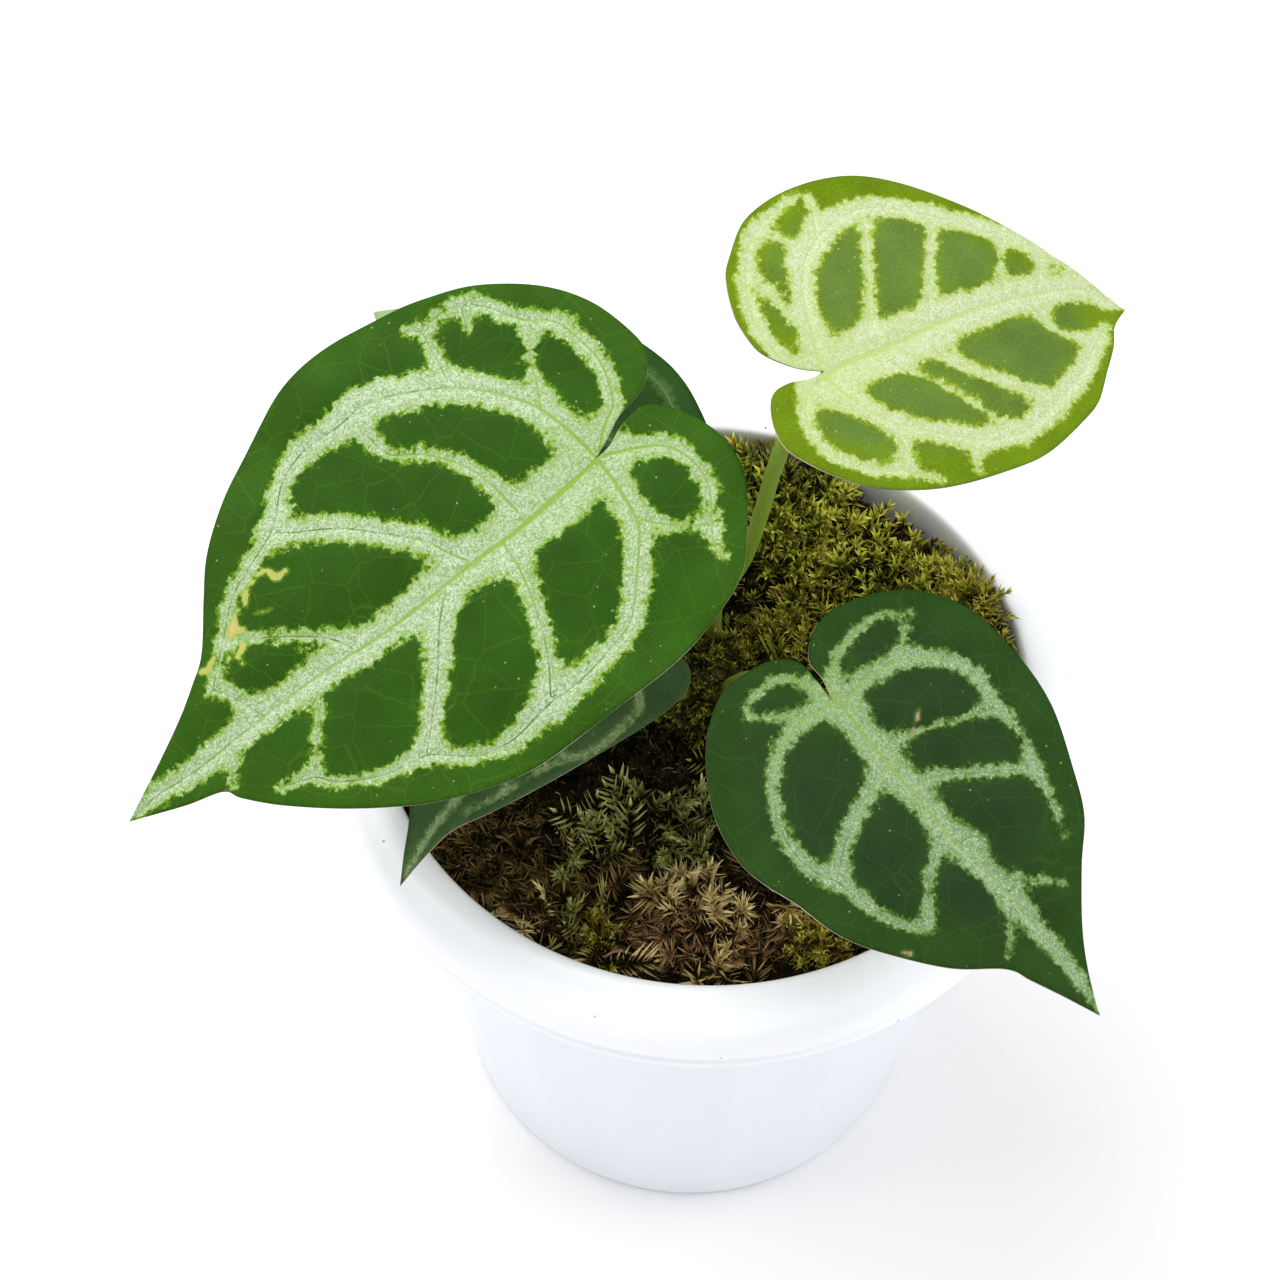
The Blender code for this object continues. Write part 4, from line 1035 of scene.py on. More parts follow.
# %% Veins of each leaf
VEINS = {
    "leaf_1": {
        "midrib": [(0, -0.5, 3.1), (8.5, 0.5, 6), (19, 1.5, 4.5), (28.5, 1.5, 3.8), (40, 2, 3.4),
            (49.5, 2, 3.3), (61, 1, 3.1), (70.5, 0.5, 2.9), (80, 0.5, 2.5), (90, 0.5, 2.2), (99.5, -0.5, 1.6),
            (105, 0, 0.4)],
        "upper_collective": [(0, -0.5, 2.7), (0.5, -5, 3.1), (2.5, -13.5, 3.1), (5.5, -19, 2.9),
            (11, -25.5, 3.1), (17.5, -30, 3.3), (26.5, -34, 3.7), (34, -34, 3.1), (41.5, -34.5, 2.6),
            (48, -32, 2), (54, -26, 1.8), (61, -23, 1.6), (67, -20.5, 1.4), (72, -16, 1.1), (79.5, -9, 0.5)],
        "L1": [(17, -1.5, 2.7), (18, -8, 1.6), (20, -14, 1.3), (24.5, -20, 1.1), (29.5, -24, 1.1),
            (30.5, -29, 1.5)],
        "L2": [(29, 1, 3.1), (31.5, -3, 2.4), (33.5, -7, 2.4), (39, -13, 2.4), (44.5, -18.5, 2.4),
            (51.5, -23, 2.2), (54.5, -25.5, 2)],
        "L3": [(55, 0.5, 1.8), (57.5, -3.5, 1.3), (63.5, -8.5, 0.9), (71.5, -14, 0.7)],
        "L4": [(75, 0, 1.4), (77.5, -6, 1.3), (79.5, -9, 0.9)],
        "P1": [(2.5, -14.5, 1.3), (0.5, -18.5, 0.8), (-1.5, -23.5, 0.8), (-5, -28, 1.1)],
        "upper_loop": [(-1, -1.5, 1.8), (-5, -5, 1.8), (-8.5, -7.5, 1.7), (-11, -14.5, 1.6),
            (-10.5, -20.5, 1.7), (-9, -26, 1.7), (-4.5, -30, 1.5), (-1, -35.5, 1.3), (1.5, -38.5, 0.7)],
        "P2": [(13, -29, 1.5), (12.5, -32, 1.1), (11.5, -38.5, 0.9), (11.5, -40, 0.7), (13.5, -42, 0.6)],
        "P2b": [(10.5, -39.5, 0.7), (8, -40.5, 0.7), (4.5, -40, 0.7), (2, -38.5, 0.7)],
        "P2c": [(3, -39, 0.7), (4.5, -35, 0.5)],
        "lower_collective": [(0, 0.5, 2.7), (0, 5, 2.7), (1, 13, 2.5), (3, 16.5, 2.5), (8, 22.5, 2.3),
            (12.5, 27, 2.1), (18.5, 29, 2), (26, 30.5, 2.3), (32.5, 30.5, 2.7), (40.5, 31.5, 1.8),
            (45, 31, 1.2), (49, 29.5, 1.2), (54.5, 25, 1.6), (57.5, 24, 1.3), (64, 22.5, 1), (71, 18.5, 0.8),
            (73.5, 15.5, 0.8), (79.5, 13, 0.5)],
        "R1": [(22.5, 2.5, 3.3), (23, 8.5, 2.2), (25, 16, 1.6), (28, 23.5, 1.6), (32, 30, 2.7)],
        "R2": [(35.5, 2.5, 3.3), (40, 7, 2.5), (45, 13.5, 2.3), (50, 19, 2), (55, 24, 1.8)],
        "R3": [(65.5, 5.5, 0.7), (69, 9.5, 0.5), (71.5, 13, 0.5), (73.5, 14.5, 0.7)],
        "R4": [(84.5, 4, 0.6), (86.5, 7, 0.5)],
        "right_loop": [(-1, -0.5, 2.4), (-5, 1, 2.4), (-11, 4.5, 2), (-13.5, 10, 1.6), (-13, 15.5, 1.3),
            (-10, 20.5, 0.9), (-7.5, 24.5, 0.7), (-7, 27.5, 0.4)],
        "RP1": [(1, 12.5, 1.3), (-3, 17, 0.9), (-9, 21.5, 0.8)],
    },
    "leaf_2": {
        "midrib": [(0, 0, 3.9), (6, 1.5, 4.5), (15.5, 2.5, 4.3), (30, 5, 3.6), (44.5, 6, 2.9), (59, 5.5, 2.3),
            (64, 2, 1.5), (66.5, 0.5, 0.6)],
        "upper_collective": [(0, 1, 2.3), (1, 7.5, 2), (3.5, 18, 2), (7.5, 24, 2.2), (12, 27.5, 2.4),
            (17.5, 30, 2), (24.5, 30.5, 1.8), (36.5, 26, 2.1), (48, 20, 1.9), (57.5, 12.5, 1.5), (62, 7, 1.2),
            (64.5, 3, 1)],
        "upper_loop": [(-0.5, 1, 1.6), (-5.5, 4.5, 1.4), (-7.5, 8.5, 1.4), (-8, 14, 1.4), (-6.5, 21, 1.3),
            (-3.5, 27, 1.3), (0, 31, 1.3), (4.5, 34, 1), (11.5, 37, 0.6), (13.5, 35.5, 0.6), (12.5, 30.5, 1)],
        "x_ab": [(1, 31.5, 0.8), (5, 28, 0.7), (5, 23.5, 1)],
        "x_bc": [(-4, 21, 0.8), (-2.5, 16.5, 0.7), (-0.5, 11.5, 0.8)],
        "x_de": [(12, 6.5, 1.2), (15, 12, 1), (19.5, 22.5, 0.8), (21.5, 27.5, 1)],
        "x_ef": [(24.5, 5, 1.4), (27.5, 11.5, 1), (33, 21.5, 0.8), (34.5, 25, 1)],
        "x_fg": [(42, 6, 0.8), (44, 12.5, 0.5), (47.5, 18.5, 0.6)],
        "x_gh": [(49, 6.5, 0.8), (52.5, 11, 0.8), (53.5, 14, 0.8)],
        "x_ij": [(47, 5, 1.2), (50, -2.5, 0.8), (58, -5.5, 0.8)],
        "x_jk": [(25.5, 4, 1.2), (23.5, -1, 1.2), (31, -8.5, 1.2), (38.5, -14, 1.2), (40, -17, 1.4)],
        "x_kl": [(14, -1, 0.6), (15.5, -2.5, 0.4), (22, -9, 0.4), (27.5, -16, 0.5), (30, -19.5, 0.8)],
        "lower_collective": [(0.5, -0.5, 2.1), (3.5, -7, 1.9), (6.5, -11, 1.7), (11.5, -14.5, 1.7),
            (17.5, -17.5, 1.9), (24, -20, 2), (31, -20.5, 2), (37, -18.5, 2), (43, -15.5, 2), (49.5, -12, 2),
            (55, -7.5, 1.6), (60, -3.5, 1)],
        "lower_loop": [(0, -0.5, 1.2), (-3.5, -1.5, 1.2), (-6.5, -5.5, 1.2), (-7.5, -10.5, 1.1),
            (-6, -14.5, 1.1), (-3, -17.5, 1), (1, -20, 1), (6.5, -21.5, 0.8), (12, -25, 0.5)],
        "x_mn": [(8.5, -13.5, 1), (8, -17.5, 0.9), (6, -21, 0.9)],
        "x_no": [(21, -19, 0.9), (21, -22, 0.6), (19.5, -25.5, 0.5)],
        "x_pm": [(-3.5, -1.5, 0.6), (-1.5, -5.5, 0.6), (2.5, -8.5, 0.6)],
    },
    "leaf_3": {
        "midrib": [(0, 0, 2.4), (4.5, 0, 2.6), (11.5, -0.5, 2.4), (18.5, -0.5, 2.2), (26.5, -0.5, 2),
            (33, -0.5, 2), (40, 0.5, 1.8), (47, 1, 1.7), (53.5, 1, 1.5), (60.5, 1, 1.2), (67.5, 1, 0.8),
            (71, 0.5, 0.4)],
        "right_collective": [(0.5, 0.5, 1.7), (1.5, 2.5, 1.5), (1, 7, 1.4), (2, 12.5, 1.4), (4, 17, 1.4),
            (7.5, 20.5, 1.4), (11.5, 22.5, 1.3), (15.5, 22.5, 1.1), (19, 21.5, 0.8), (23.5, 22, 0.6),
            (28, 21.5, 0.5), (32.5, 19, 0.5), (37, 18.5, 0.5), (41.5, 17, 0.4), (45, 15.5, 0.3)],
        "right_loop": [(-0.5, 0.5, 0.8), (-2.5, 1.5, 0.7), (-5.5, 5.5, 0.7), (-6.5, 9.5, 0.7),
            (-7, 14.5, 0.6), (-5.5, 18.5, 0.5), (-3.5, 21, 0.4)],
        "r_spur": [(-1.5, 18, 0.3), (1, 15, 0.4)],
        "R1": [(13, -0.5, 0.9), (13, 3, 0.5), (15, 9.5, 0.4), (17.5, 16, 0.4), (19.5, 21.5, 0.4)],
        "R2": [(20, -0.5, 1.3), (21, 0.5, 1), (23, 5.5, 0.9), (27, 11.5, 0.9), (30, 16, 0.8),
            (32.5, 19.5, 0.7)],
        "R3": [(34, 0, 0.7), (34.5, 2.5, 0.5), (36.5, 3.5, 0.3)],
        "R4": [(46, 1, 0.7), (46, 3.5, 0.4), (48.5, 7.5, 0.4), (51, 10, 0.3)],
        "left_collective": [(0.5, -1, 1.7), (0.5, -2.5, 1.5), (0, -6.5, 1.4), (0.5, -11, 1.2),
            (2.5, -16, 1.1), (6.5, -20, 1), (11.5, -23, 0.9), (17, -24.5, 1.1), (22, -24, 1.2),
            (26, -22, 1.2), (30.5, -21, 1.1), (35.5, -19.5, 0.8), (40, -17, 0.6), (41.5, -14, 0.4)],
        "LL1": [(15.5, -1.5, 1.8), (17.5, -6.5, 1.3), (19, -11, 1.3), (21.5, -16, 1.3), (24, -19.5, 1.3),
            (25.5, -21.5, 1.2)],
        "LL2": [(30.5, -1, 1.3), (33, -5, 0.7), (35.5, -8.5, 0.6), (38.5, -11.5, 0.5), (41.5, -14, 0.5)],
        "LL3": [(48, 0, 0.5), (50, -2, 0.3), (54.5, -6.5, 0.2)],
        "left_loop": [(-0.5, -0.5, 0.7), (-2.5, -1.5, 0.6), (-6.5, -3, 0.6), (-9, -6.5, 0.6),
            (-9, -10.5, 0.6), (-8, -13.5, 0.5), (-6, -14, 0.5), (-3, -10, 0.5), (0, -7, 0.5)],
    },
    "leaf_4": {
        "midrib": [(0, 0, 1.6), (8, 0.2, 1.5), (18, 0.6, 1.3), (30, 0.4, 1), (40, -0.6, 0.7),
            (49, -0.2, 0.4)],
        "upper_collective": [(0, 0.5, 1), (-2, 9, 0.9), (-3, 16, 1), (0.7, 19.2, 1), (6, 18.4, 1),
            (12.5, 16.2, 0.9), (18, 11.5, 0.7), (26, 7.6, 0.5), (34, 3, 0.4)],
        "lower_collective": [(0, -0.5, 1), (-3.5, -9, 0.9), (-2, -16, 0.9), (6, -19.5, 0.9), (15, -16.5, 0.8),
            (24, -11.5, 0.6), (33, -6, 0.4)],
        "cross_1": [(10, 0.2, 0.8), (13, 6, 0.5), (15, 12, 0.5)],
        "cross_2": [(20, 0.6, 0.7), (23, 4, 0.4), (26, 7, 0.3)],
        "cross_3": [(11, 0, 0.8), (14, -7, 0.5), (17, -14, 0.5)],
        "cross_4": [(22, 0.4, 0.6), (26, -5, 0.4), (29, -8.5, 0.3)],
    },
    "leaf_5": {
        "midrib": [(0, 0, 1.5), (12, 0, 1.4), (30, 0, 1.1), (48, 0, 0.8), (66, 0, 0.3)],
        "upper_collective": [(0, 0.5, 0.9), (-4, 9, 0.8), (4, 15.5, 0.8), (16, 17, 0.8), (30, 14, 0.7),
            (44, 9.5, 0.5), (57, 4, 0.3)],
        "lower_collective": [(0, -0.5, 0.9), (-3.5, -7, 0.8), (5, -14.5, 0.8), (17, -16.5, 0.8),
            (31, -14, 0.7), (45, -9.5, 0.5), (58, -4, 0.3)],
        "cross_1": [(12, 0, 0.7), (16, 8, 0.5), (18, 16.5, 0.5)],
        "cross_2": [(26, 0, 0.6), (31, 7, 0.4), (34, 12.5, 0.4)],
        "cross_3": [(13, 0, 0.7), (17, -8, 0.5), (19, -16, 0.5)],
        "cross_4": [(27, 0, 0.6), (32, -7, 0.4), (35, -12.5, 0.4)],
    },
}
print("veins:", {leaf: len(veins) for leaf, veins in VEINS.items()})

# %% [markdown]
# ## How a blade lies in space
# A blade is drawn flat and then bent: a crease along the midrib, a sag towards the tip, behind the stalk and
# at the sides, and a slight wave of the margin. The same rule bends the solids, so both lie in one place.

# %% Blade space
MIDRIB_CREASE, CREASE_WIDTH = 1.0, 6.0
WAVE_HEIGHT, WAVE_LENGTH, FULL_WAVE_AT = 1.1, 36.0, 40.0
BLADE_THICKNESS = 0.55


def leaf_axes(leaf):
    """Unit vectors along the midrib, to the blade's left, and out of its upper face."""
    heading, slope, roll = (math.radians(leaf[key]) for key in ("heading", "slope", "roll"))
    along = np.array([math.cos(heading) * math.cos(slope), math.sin(heading) * math.cos(slope),
                      -math.sin(slope)])
    level_way = np.array([-math.sin(heading), math.cos(heading), 0.0])
    up = np.cross(along, level_way)
    left = math.cos(roll) * level_way - math.sin(roll) * up
    out = math.sin(roll) * level_way + math.cos(roll) * up
    return along, left, out


def blade_height(leaf, x, y):
    to_tip, behind, sideways = leaf["sag"]
    sag = np.where(x > 0, to_tip, behind) * x ** 2 + sideways * y ** 2
    crease = MIDRIB_CREASE * (1.0 - np.exp(-(y / CREASE_WIDTH) ** 2))
    wave = WAVE_HEIGHT * np.sin(math.tau * x / WAVE_LENGTH + 0.1 * y) * (y / FULL_WAVE_AT) ** 2
    return crease + wave - sag


def leaf_points(leaf, x, y, lift=0.0):
    """Places of blade points, raised by lift along the blade's outward direction."""
    along, left, out = leaf_axes(leaf)
    x, y = np.asarray(x, float), np.asarray(y, float)
    high = blade_height(leaf, x, y) + lift
    return (np.array(leaf["junction"]) + x[..., None] * along + y[..., None] * left
            + high[..., None] * out)


print("leaf_1 tip at", leaf_points(LEAVES["leaf_1"], 105.5, 0.0).round(1))

# %% [markdown]
# ## Leaf markings
# The silver follows the veins, with a ragged, feathered edge. The edge isn't drawn by hand: each point of a
# blade knows its distance to the edge of the nearest vein's silver and how far along that vein it is. Noise
# on those two values pushes the edge in and out in fine teeth that stand across the vein. Inside, small
# bright grains glitter on pale green; outside lies a yellow-green fringe, then the dark green of the cells,
# which gets brighter near the margin. A thin line marks the vein's own centre.

# %% Leaf markings group
MARK_COLOURS = ("Cell", "Band", "Fringe", "Grain Light", "Grain Deep", "Young Rib", "Old Rib", "Harm Edge",
                "Harm Core")
MARK_NUMBERS = {"Silver": 5.0, "Along": 0.0, "Rib": 9.0, "Sap": 0.0, "Margin": 9.0, "Harm": 9.0,
                "Teeth": 1.0, "Silver Share": 1.0, "Line Share": 0.8}
TEETH_REACH, RAGGED_REACH, CRUMBLY_REACH = 2.5, 2.6, 3.4
markings, mark_in, mark_out = new_group("leaf markings", MARK_NUMBERS, MARK_COLOURS,
                                        {"Color": "Color", "Roughness": "Float", "Height": "Float"})
place, rib, sap = mark_in["Place"], mark_in["Rib"], mark_in["Sap"]
fringe_tone, young = mark_in["Fringe"], mark_in["Young Rib"]

comb = add_node(markings, "ShaderNodeCombineXYZ", {"X": 0.45 * mark_in["Along"],
                                                   "Y": 0.25 * mark_in["Silver"]})
teeth = noise(Wire(comb.outputs[0]), 1.0, 2.0, 0.55) - 0.5
ragged = noise(place, 0.28) - 0.5
crumbly = noise(place, 0.95, 1.5, 0.55) - 0.5
push = TEETH_REACH * teeth + (RAGGED_REACH * ragged + CRUMBLY_REACH * crumbly)
edge = arithmetic("MINIMUM", mark_in["Silver"], 2.6) + push * mark_in["Teeth"]
silver = ramp(edge, 0.08, -0.08) * mark_in["Silver Share"]

_, grain_one, grain_two, grain_three = crumbs(place, 3.8)
grain_tone = ramp(grain_one + 0.8 * crumbly, -0.1, 1.1)
silver_colour = blend(grain_tone, mark_in["Grain Deep"], mark_in["Grain Light"])
silver_colour = blend(ramp(sap, 0.7, 1.0, 0.0, 0.2), silver_colour, young)
soft_rim = ramp(edge + 1.6 * grain_three, -0.6, 1.1)
silver_colour = blend(0.7 * soft_rim, silver_colour, fringe_tone)
print("silver with ragged edges")

# %% [markdown]
# Between the veins the blade is velvet green, lighter in a band along the margin and beside the silver. A
# faint net of the finest veins and a few pale specks lie on it, and a crumbly yellow-green fringe ends it.

# %% Green between the veins
velvet = noise(place, 2.4, 2.0, 0.6)
band = ramp(mark_in["Margin"] + 6.0 * ragged, 11.0, 4.0)
beside = 0.55 * ramp(edge, 2.4, 0.2)
green = blend(arithmetic("MAXIMUM", band, beside), mark_in["Cell"], mark_in["Band"])
shade = 0.15 + (0.8 * noise(place, 0.09, 3.0, 0.55) + 0.9 * velvet)
green = blend(1.0, green, shade, "MULTIPLY")
warped = add_node(markings, "ShaderNodeVectorMath", {0: place, 1: noise(place, 0.25, output="Color")},
                  operation="ADD")
net = add_node(markings, "ShaderNodeTexVoronoi", {"Vector": warped.outputs[0], "Scale": 0.13},
               feature="DISTANCE_TO_EDGE")
green = blend(0.07 * ramp(Wire(net.outputs["Distance"]), 0.022, 0.006), green, fringe_tone)
dust_away, _, dust_pick, _ = crumbs(place, 0.8)
dust_spot = ramp(dust_pick, 0.95, 0.97) * ramp(dust_away, 0.2, 0.08)
green = blend(0.45 * dust_spot, green, mark_in["Grain Light"])
fringe = ramp(edge, 0.8, 0.1) * ramp(crumbly + 0.3 * grain_two, 0.0, 0.14)
green = blend(0.85 * fringe, green, fringe_tone)
print("green with its fringe")

# %% [markdown]
# Each vein's own centre is a thin line, sappy near the stalk and broken further out. Old bites have healed as
# pale scars with a coloured edge. Both lie over the silver and the green, so they are blended in last.

# %% Vein lines and scars over both
from_rib = arithmetic("ABSOLUTE", rib)
in_silver = ramp(edge, 0.5, -0.1)
painted = blend(silver, green, silver_colour)
sappy = blend(0.25 * (sap * (in_silver * ramp(from_rib, 2.0, 0.8))), painted, young)
on_line = in_silver * ramp(from_rib, 1.05, 0.7)
patchy = arithmetic("MAXIMUM", sap, ramp(ragged, -0.08, 0.12, 0.3, 1.0))
final = blend(on_line * patchy * mark_in["Line Share"], sappy,
              blend(ramp(sap, 0.2, 0.6), mark_in["Old Rib"], young))
scarred = mark_in["Harm"] + 0.9 * crumbly
final = blend(0.35 * ramp(scarred, 0.6, 0.1), final, fringe_tone)
scar = blend(ramp(scarred, -0.35, -0.7), mark_in["Harm Edge"], mark_in["Harm Core"])
feed(mark_out["Color"], blend(ramp(scarred, 0.12, -0.1), final, scar))
feed(mark_out["Roughness"], ramp(silver, 0.0, 1.0, 0.5, 0.4) + 0.14 * velvet)
feed(mark_out["Height"], grain_tone * silver + (0.9 * velvet - 1.2 * on_line))
print("group:", markings.name)

# %% [markdown]
# ## Leaf finishes
# The five leaves share the markings and differ in their greens: the large one deep with bright silver, the
# young upper one fresh yellow-green, the lower one very dark, and the two behind plainer. Velvet looks dull
# because it hardly mirrors, so the gloss is nearly off. The underside is paler, and the cut edge is a thin
# cream line.

# %% Leaf tones
# In the order of MARK_COLOURS.
LEAF_COLOURS = {
    "leaf_1": ((38, 73, 11), (44, 80, 13), (114, 150, 36), (182, 196, 167), (122, 148, 100),
               (120, 152, 56), (72, 108, 46), (158, 166, 84), (190, 164, 112)),
    "leaf_2": ((84, 109, 44), (90, 116, 8), (142, 164, 60), (188, 199, 166), (157, 174, 120),
               (156, 176, 84), (142, 164, 88), (158, 166, 84), (190, 164, 112)),
    "leaf_3": ((31, 54, 22), (33, 60, 17), (84, 116, 46), (152, 173, 137), (98, 126, 88),
               (116, 146, 62), (58, 88, 44), (142, 112, 96), (192, 164, 148)),
    "leaf_4": ((60, 84, 50), (70, 96, 56), (116, 142, 84), (190, 204, 160), (142, 160, 112),
               (124, 148, 96), (74, 92, 60), (158, 166, 84), (190, 164, 112)),
    "leaf_5": ((32, 60, 20), (38, 70, 24), (60, 92, 36), (132, 158, 116), (92, 122, 76),
               (112, 138, 66), (56, 86, 42), (104, 132, 78), (140, 166, 112)),
}
# How far the teeth of the silver's edge reach, how much silver there is, and how strong the vein lines are.
LEAF_SHARES = {"leaf_1": (1.0, 1.0, 0.9), "leaf_2": (0.8, 1.0, 0.45), "leaf_3": (0.85, 1.0, 0.65),
               "leaf_4": (0.5, 1.0, 0.5), "leaf_5": (0.8, 0.2, 0.4)}
# Bites and scars: strokes of places with a half-width in millimetres.
HARM = {
    "leaf_1": [[(56.3, -17.9, 0.25), (58.5, -18.1, 0.7), (59.2, -20, 0.5), (60.6, -20.7, 0.35),
                (62.3, -20.2, 0.25), (64.1, -19.7, 0.3), (65.2, -18.8, 0.6), (66, -17.6, 0.3)],
               [(69, -17.1, 0.5), (70.1, -15.8, 1.1), (71.4, -14.8, 0.7)],
               [(70.1, -15.1, 0.8), (68.9, -14.2, 0.5)],
               [(70.5, -11.9, 0.7), (71.6, -11.2, 0.55), (72.8, -11.2, 0.3), (74.1, -11.7, 0.2)],
               [(72.8, -11.2, 0.25), (72.4, -10.2, 0.2), (72.4, -9.2, 0.3)],
               [(75.8, -13.6, 0.3), (77.9, -12.6, 0.6), (79.2, -12.7, 0.6)],
               [(65.4, -15.1, 0.12), (62.6, -13.8, 0.1)]],
    "leaf_3": [[(11.4, 10.0, 0.15), (12.5, 8.6, 0.4)],
               [(13.2, 7.5, 0.08), (13.4, 7.1, 0.15), (14.3, 5.6, 0.3)],
               [(42.6, -20.8, 0.3), (43.6, -20.1, 0.35)]],
    "leaf_5": [[(69, 0.5, 3.5), (66, -2, 2.6), (62, -4.5, 1.0)]],
}
print("leaf tones:", list(LEAF_COLOURS))

# %% [markdown]
# Three finishes dress a blade: the markings on the upper face, a paler underside and the cut edge. The first
# two read the blade's own UV map and attributes, so the pattern stays on the leaf wherever it turns.

# %% Leaf materials
UV_SPAN = 200.0
UNDERSIDE_PALE, UNDERSIDE_SHARE = (150, 182, 120), 0.45
EDGE_TONES = (206, 186, 160), (112, 110, 84)


def blade_uv(tree):
    return Wire(add_node(tree, "ShaderNodeUVMap", uv_map="blade").outputs["UV"])


def upper_finish(name):
    """The upper face: the shared markings in this leaf's own colours."""
    material, tree, shader = new_material(name + "_upper", {"Specular IOR Level": 0.06})
    place = add_node(tree, "ShaderNodeVectorMath", {0: blade_uv(tree), "Scale": UV_SPAN}, operation="SCALE")
    values = {"Place": place.outputs[0]}
    values.update({key.title(): attribute(tree, key)
                   for key in ("silver", "along", "rib", "sap", "margin", "harm")})
    values.update({key: colour(*tone) for key, tone in zip(MARK_COLOURS, LEAF_COLOURS[name])})
    values.update(zip(("Teeth", "Silver Share", "Line Share"), LEAF_SHARES[name]))
    marks = use_group(tree, markings, values)
    feed(shader.inputs["Base Color"], marks["Color"])
    feed(shader.inputs["Roughness"], marks["Roughness"])
    bump(shader, marks["Height"], 0.25, 0.0003)
    return material


def under_finish(name):
    """The underside: a paler green with the veins in a tone of their own."""
    material, tree, shader = new_material(name + "_under", {"Roughness": 0.7, "Specular IOR Level": 0.25})
    tones = dict(zip(MARK_COLOURS, LEAF_COLOURS[name]))
    base = [int((1 - UNDERSIDE_SHARE) * cell + UNDERSIDE_SHARE * pale)
            for cell, pale in zip(tones["Cell"], UNDERSIDE_PALE)]
    clouds = use_group(tree, mottle, {"Place": blade_uv(tree), "Coarse": 16.0, "Fine": 220.0,
                                      "Light": colour(*base),
                                      "Dark": colour(*(int(v * 0.82) for v in base))})
    veined = ramp(attribute(tree, "silver"), 0.6, -1.4)
    feed(shader.inputs["Base Color"], blend(veined, clouds["Color"], colour(*tones["Grain Deep"])))
    bump(shader, clouds["Value"], 0.2, 0.0004)
    return material


def edge_finish(name):
    material, tree, shader = new_material(name + "_edge", {"Roughness": 0.55})
    patches = ramp(noise(object_place(tree), 55.0, 3.0), 0.4, 0.6)
    feed(shader.inputs["Base Color"], blend(patches, *(colour(*tone) for tone in EDGE_TONES)))
    return material


print("leaf finishes ready")

# %% [markdown]
# ## Distances on a blade
# The markings need six numbers at each point: distance to the silver's edge, place along the vein, distance
# to the vein's centre line, how young and sappy the vein is there, distance to the margin and distance to
# the nearest scar. They come from the nearest segment of each line. Where two veins meet, their distances
# are blended, which rounds the corners of the cells as in the real leaf.

# %% Distance helpers
BATCH = 4000
FAR = 1e9
SAP_REACH, MIDRIB_SAP_REACH = 0.36, 0.9
VEIN_GAP = 37.0
VEIN_STEP, SCAR_STEP = 0.8, 0.4
LINE_WIDTH, SAPPY_WIDTH = 0.13, 0.07


def nearest_on_line(points, line):
    """For each point: distance to a polyline, the segment's index, the share along it and its side."""
    start, step = line[:-1, :2], np.diff(line[:, :2], axis=0)
    length_2 = np.maximum((step ** 2).sum(1), 1e-9)
    result = np.empty((4, len(points)))
    for low in range(0, len(points), BATCH):
        some = points[low:low + BATCH]
        rel = some[:, None, :] - start[None]
        share = np.clip((rel * step).sum(2) / length_2, 0.0, 1.0)
        away = rel - share[..., None] * step
        distance = np.hypot(away[..., 0], away[..., 1])
        best = distance.argmin(1)
        rows = np.arange(len(some))
        side = step[best, 0] * rel[rows, best, 1] - step[best, 1] * rel[rows, best, 0]
        result[:, low:low + BATCH] = distance[rows, best], best, share[rows, best], np.sign(side)
    return result[0], result[1].astype(int), result[2], result[3]


def at_share(values, index, share):
    """The values between one point of a line and the next."""
    return (values[index].T * (1 - share) + values[index + 1].T * share).T


def from_margin(points, ring):
    return nearest_on_line(points, np.vstack([ring, ring[:1]]))[0]


def vein_values(points, veins, swell, reach, blend_size):
    """The silver, along, rib and sap values of blade points."""
    total = np.zeros(len(points))
    best = np.full(len(points), FAR)
    values = {key: np.zeros(len(points)) for key in ("along", "rib", "sap", "silver")}
    for number, (name, control) in enumerate(veins.items()):
        line = smooth_line(control, VEIN_STEP)
        distance, index, share, side = nearest_on_line(points, line)
        x, y, width = at_share(line, index, share).T
        width = width * swell
        total += np.exp(-np.clip(distance - width, -8, 30) / blend_size)
        lengths = np.concatenate([[0], np.cumsum(np.hypot(*np.diff(line[:, :2], axis=0).T))])
        run = lengths[index] + share * (lengths[index + 1] - lengths[index])
        sap_reach = reach * (MIDRIB_SAP_REACH if name == "midrib" else SAP_REACH)
        sap = np.exp(-(np.hypot(x, y) / sap_reach) ** 2)
        line_width = LINE_WIDTH + SAPPY_WIDTH * width * sap
        closer = distance < best
        best = np.where(closer, distance, best)
        for key, value in (("along", run + VEIN_GAP * number), ("rib", side * distance / line_width),
                           ("sap", sap)):
            values[key] = np.where(closer, value, values[key])
    values["silver"] = -blend_size * np.log(total)
    return values


def harm_values(points, strokes):
    """The distance of blade points to the edge of the nearest scar."""
    values = np.full(len(points), MARK_NUMBERS["Harm"])
    for stroke in strokes:
        line = smooth_line(stroke, SCAR_STEP)
        distance, index, share, _ = nearest_on_line(points, line)
        values = np.minimum(values, distance - at_share(line[:, 2], index, share))
    return values


def inside(points, ring):
    """Whether points lie inside a closed outline."""
    result = np.zeros(len(points), bool)
    for (x1, y1), (x2, y2) in zip(ring, np.roll(ring, -1, 0)):
        if y1 != y2:
            crosses = (points[:, 1] < y1) != (points[:, 1] < y2)
            result ^= crosses & (points[:, 0] < x1 + (points[:, 1] - y1) * (x2 - x1) / (y2 - y1))
    return result


print("distance helpers ready")

# %% [markdown]
# ## Blades
# A blade starts as an even sheet of triangles inside its outline: points along the margin and a hexagonal
# grid between them, joined by a Delaunay triangulation. A narrow strip will close its margin.

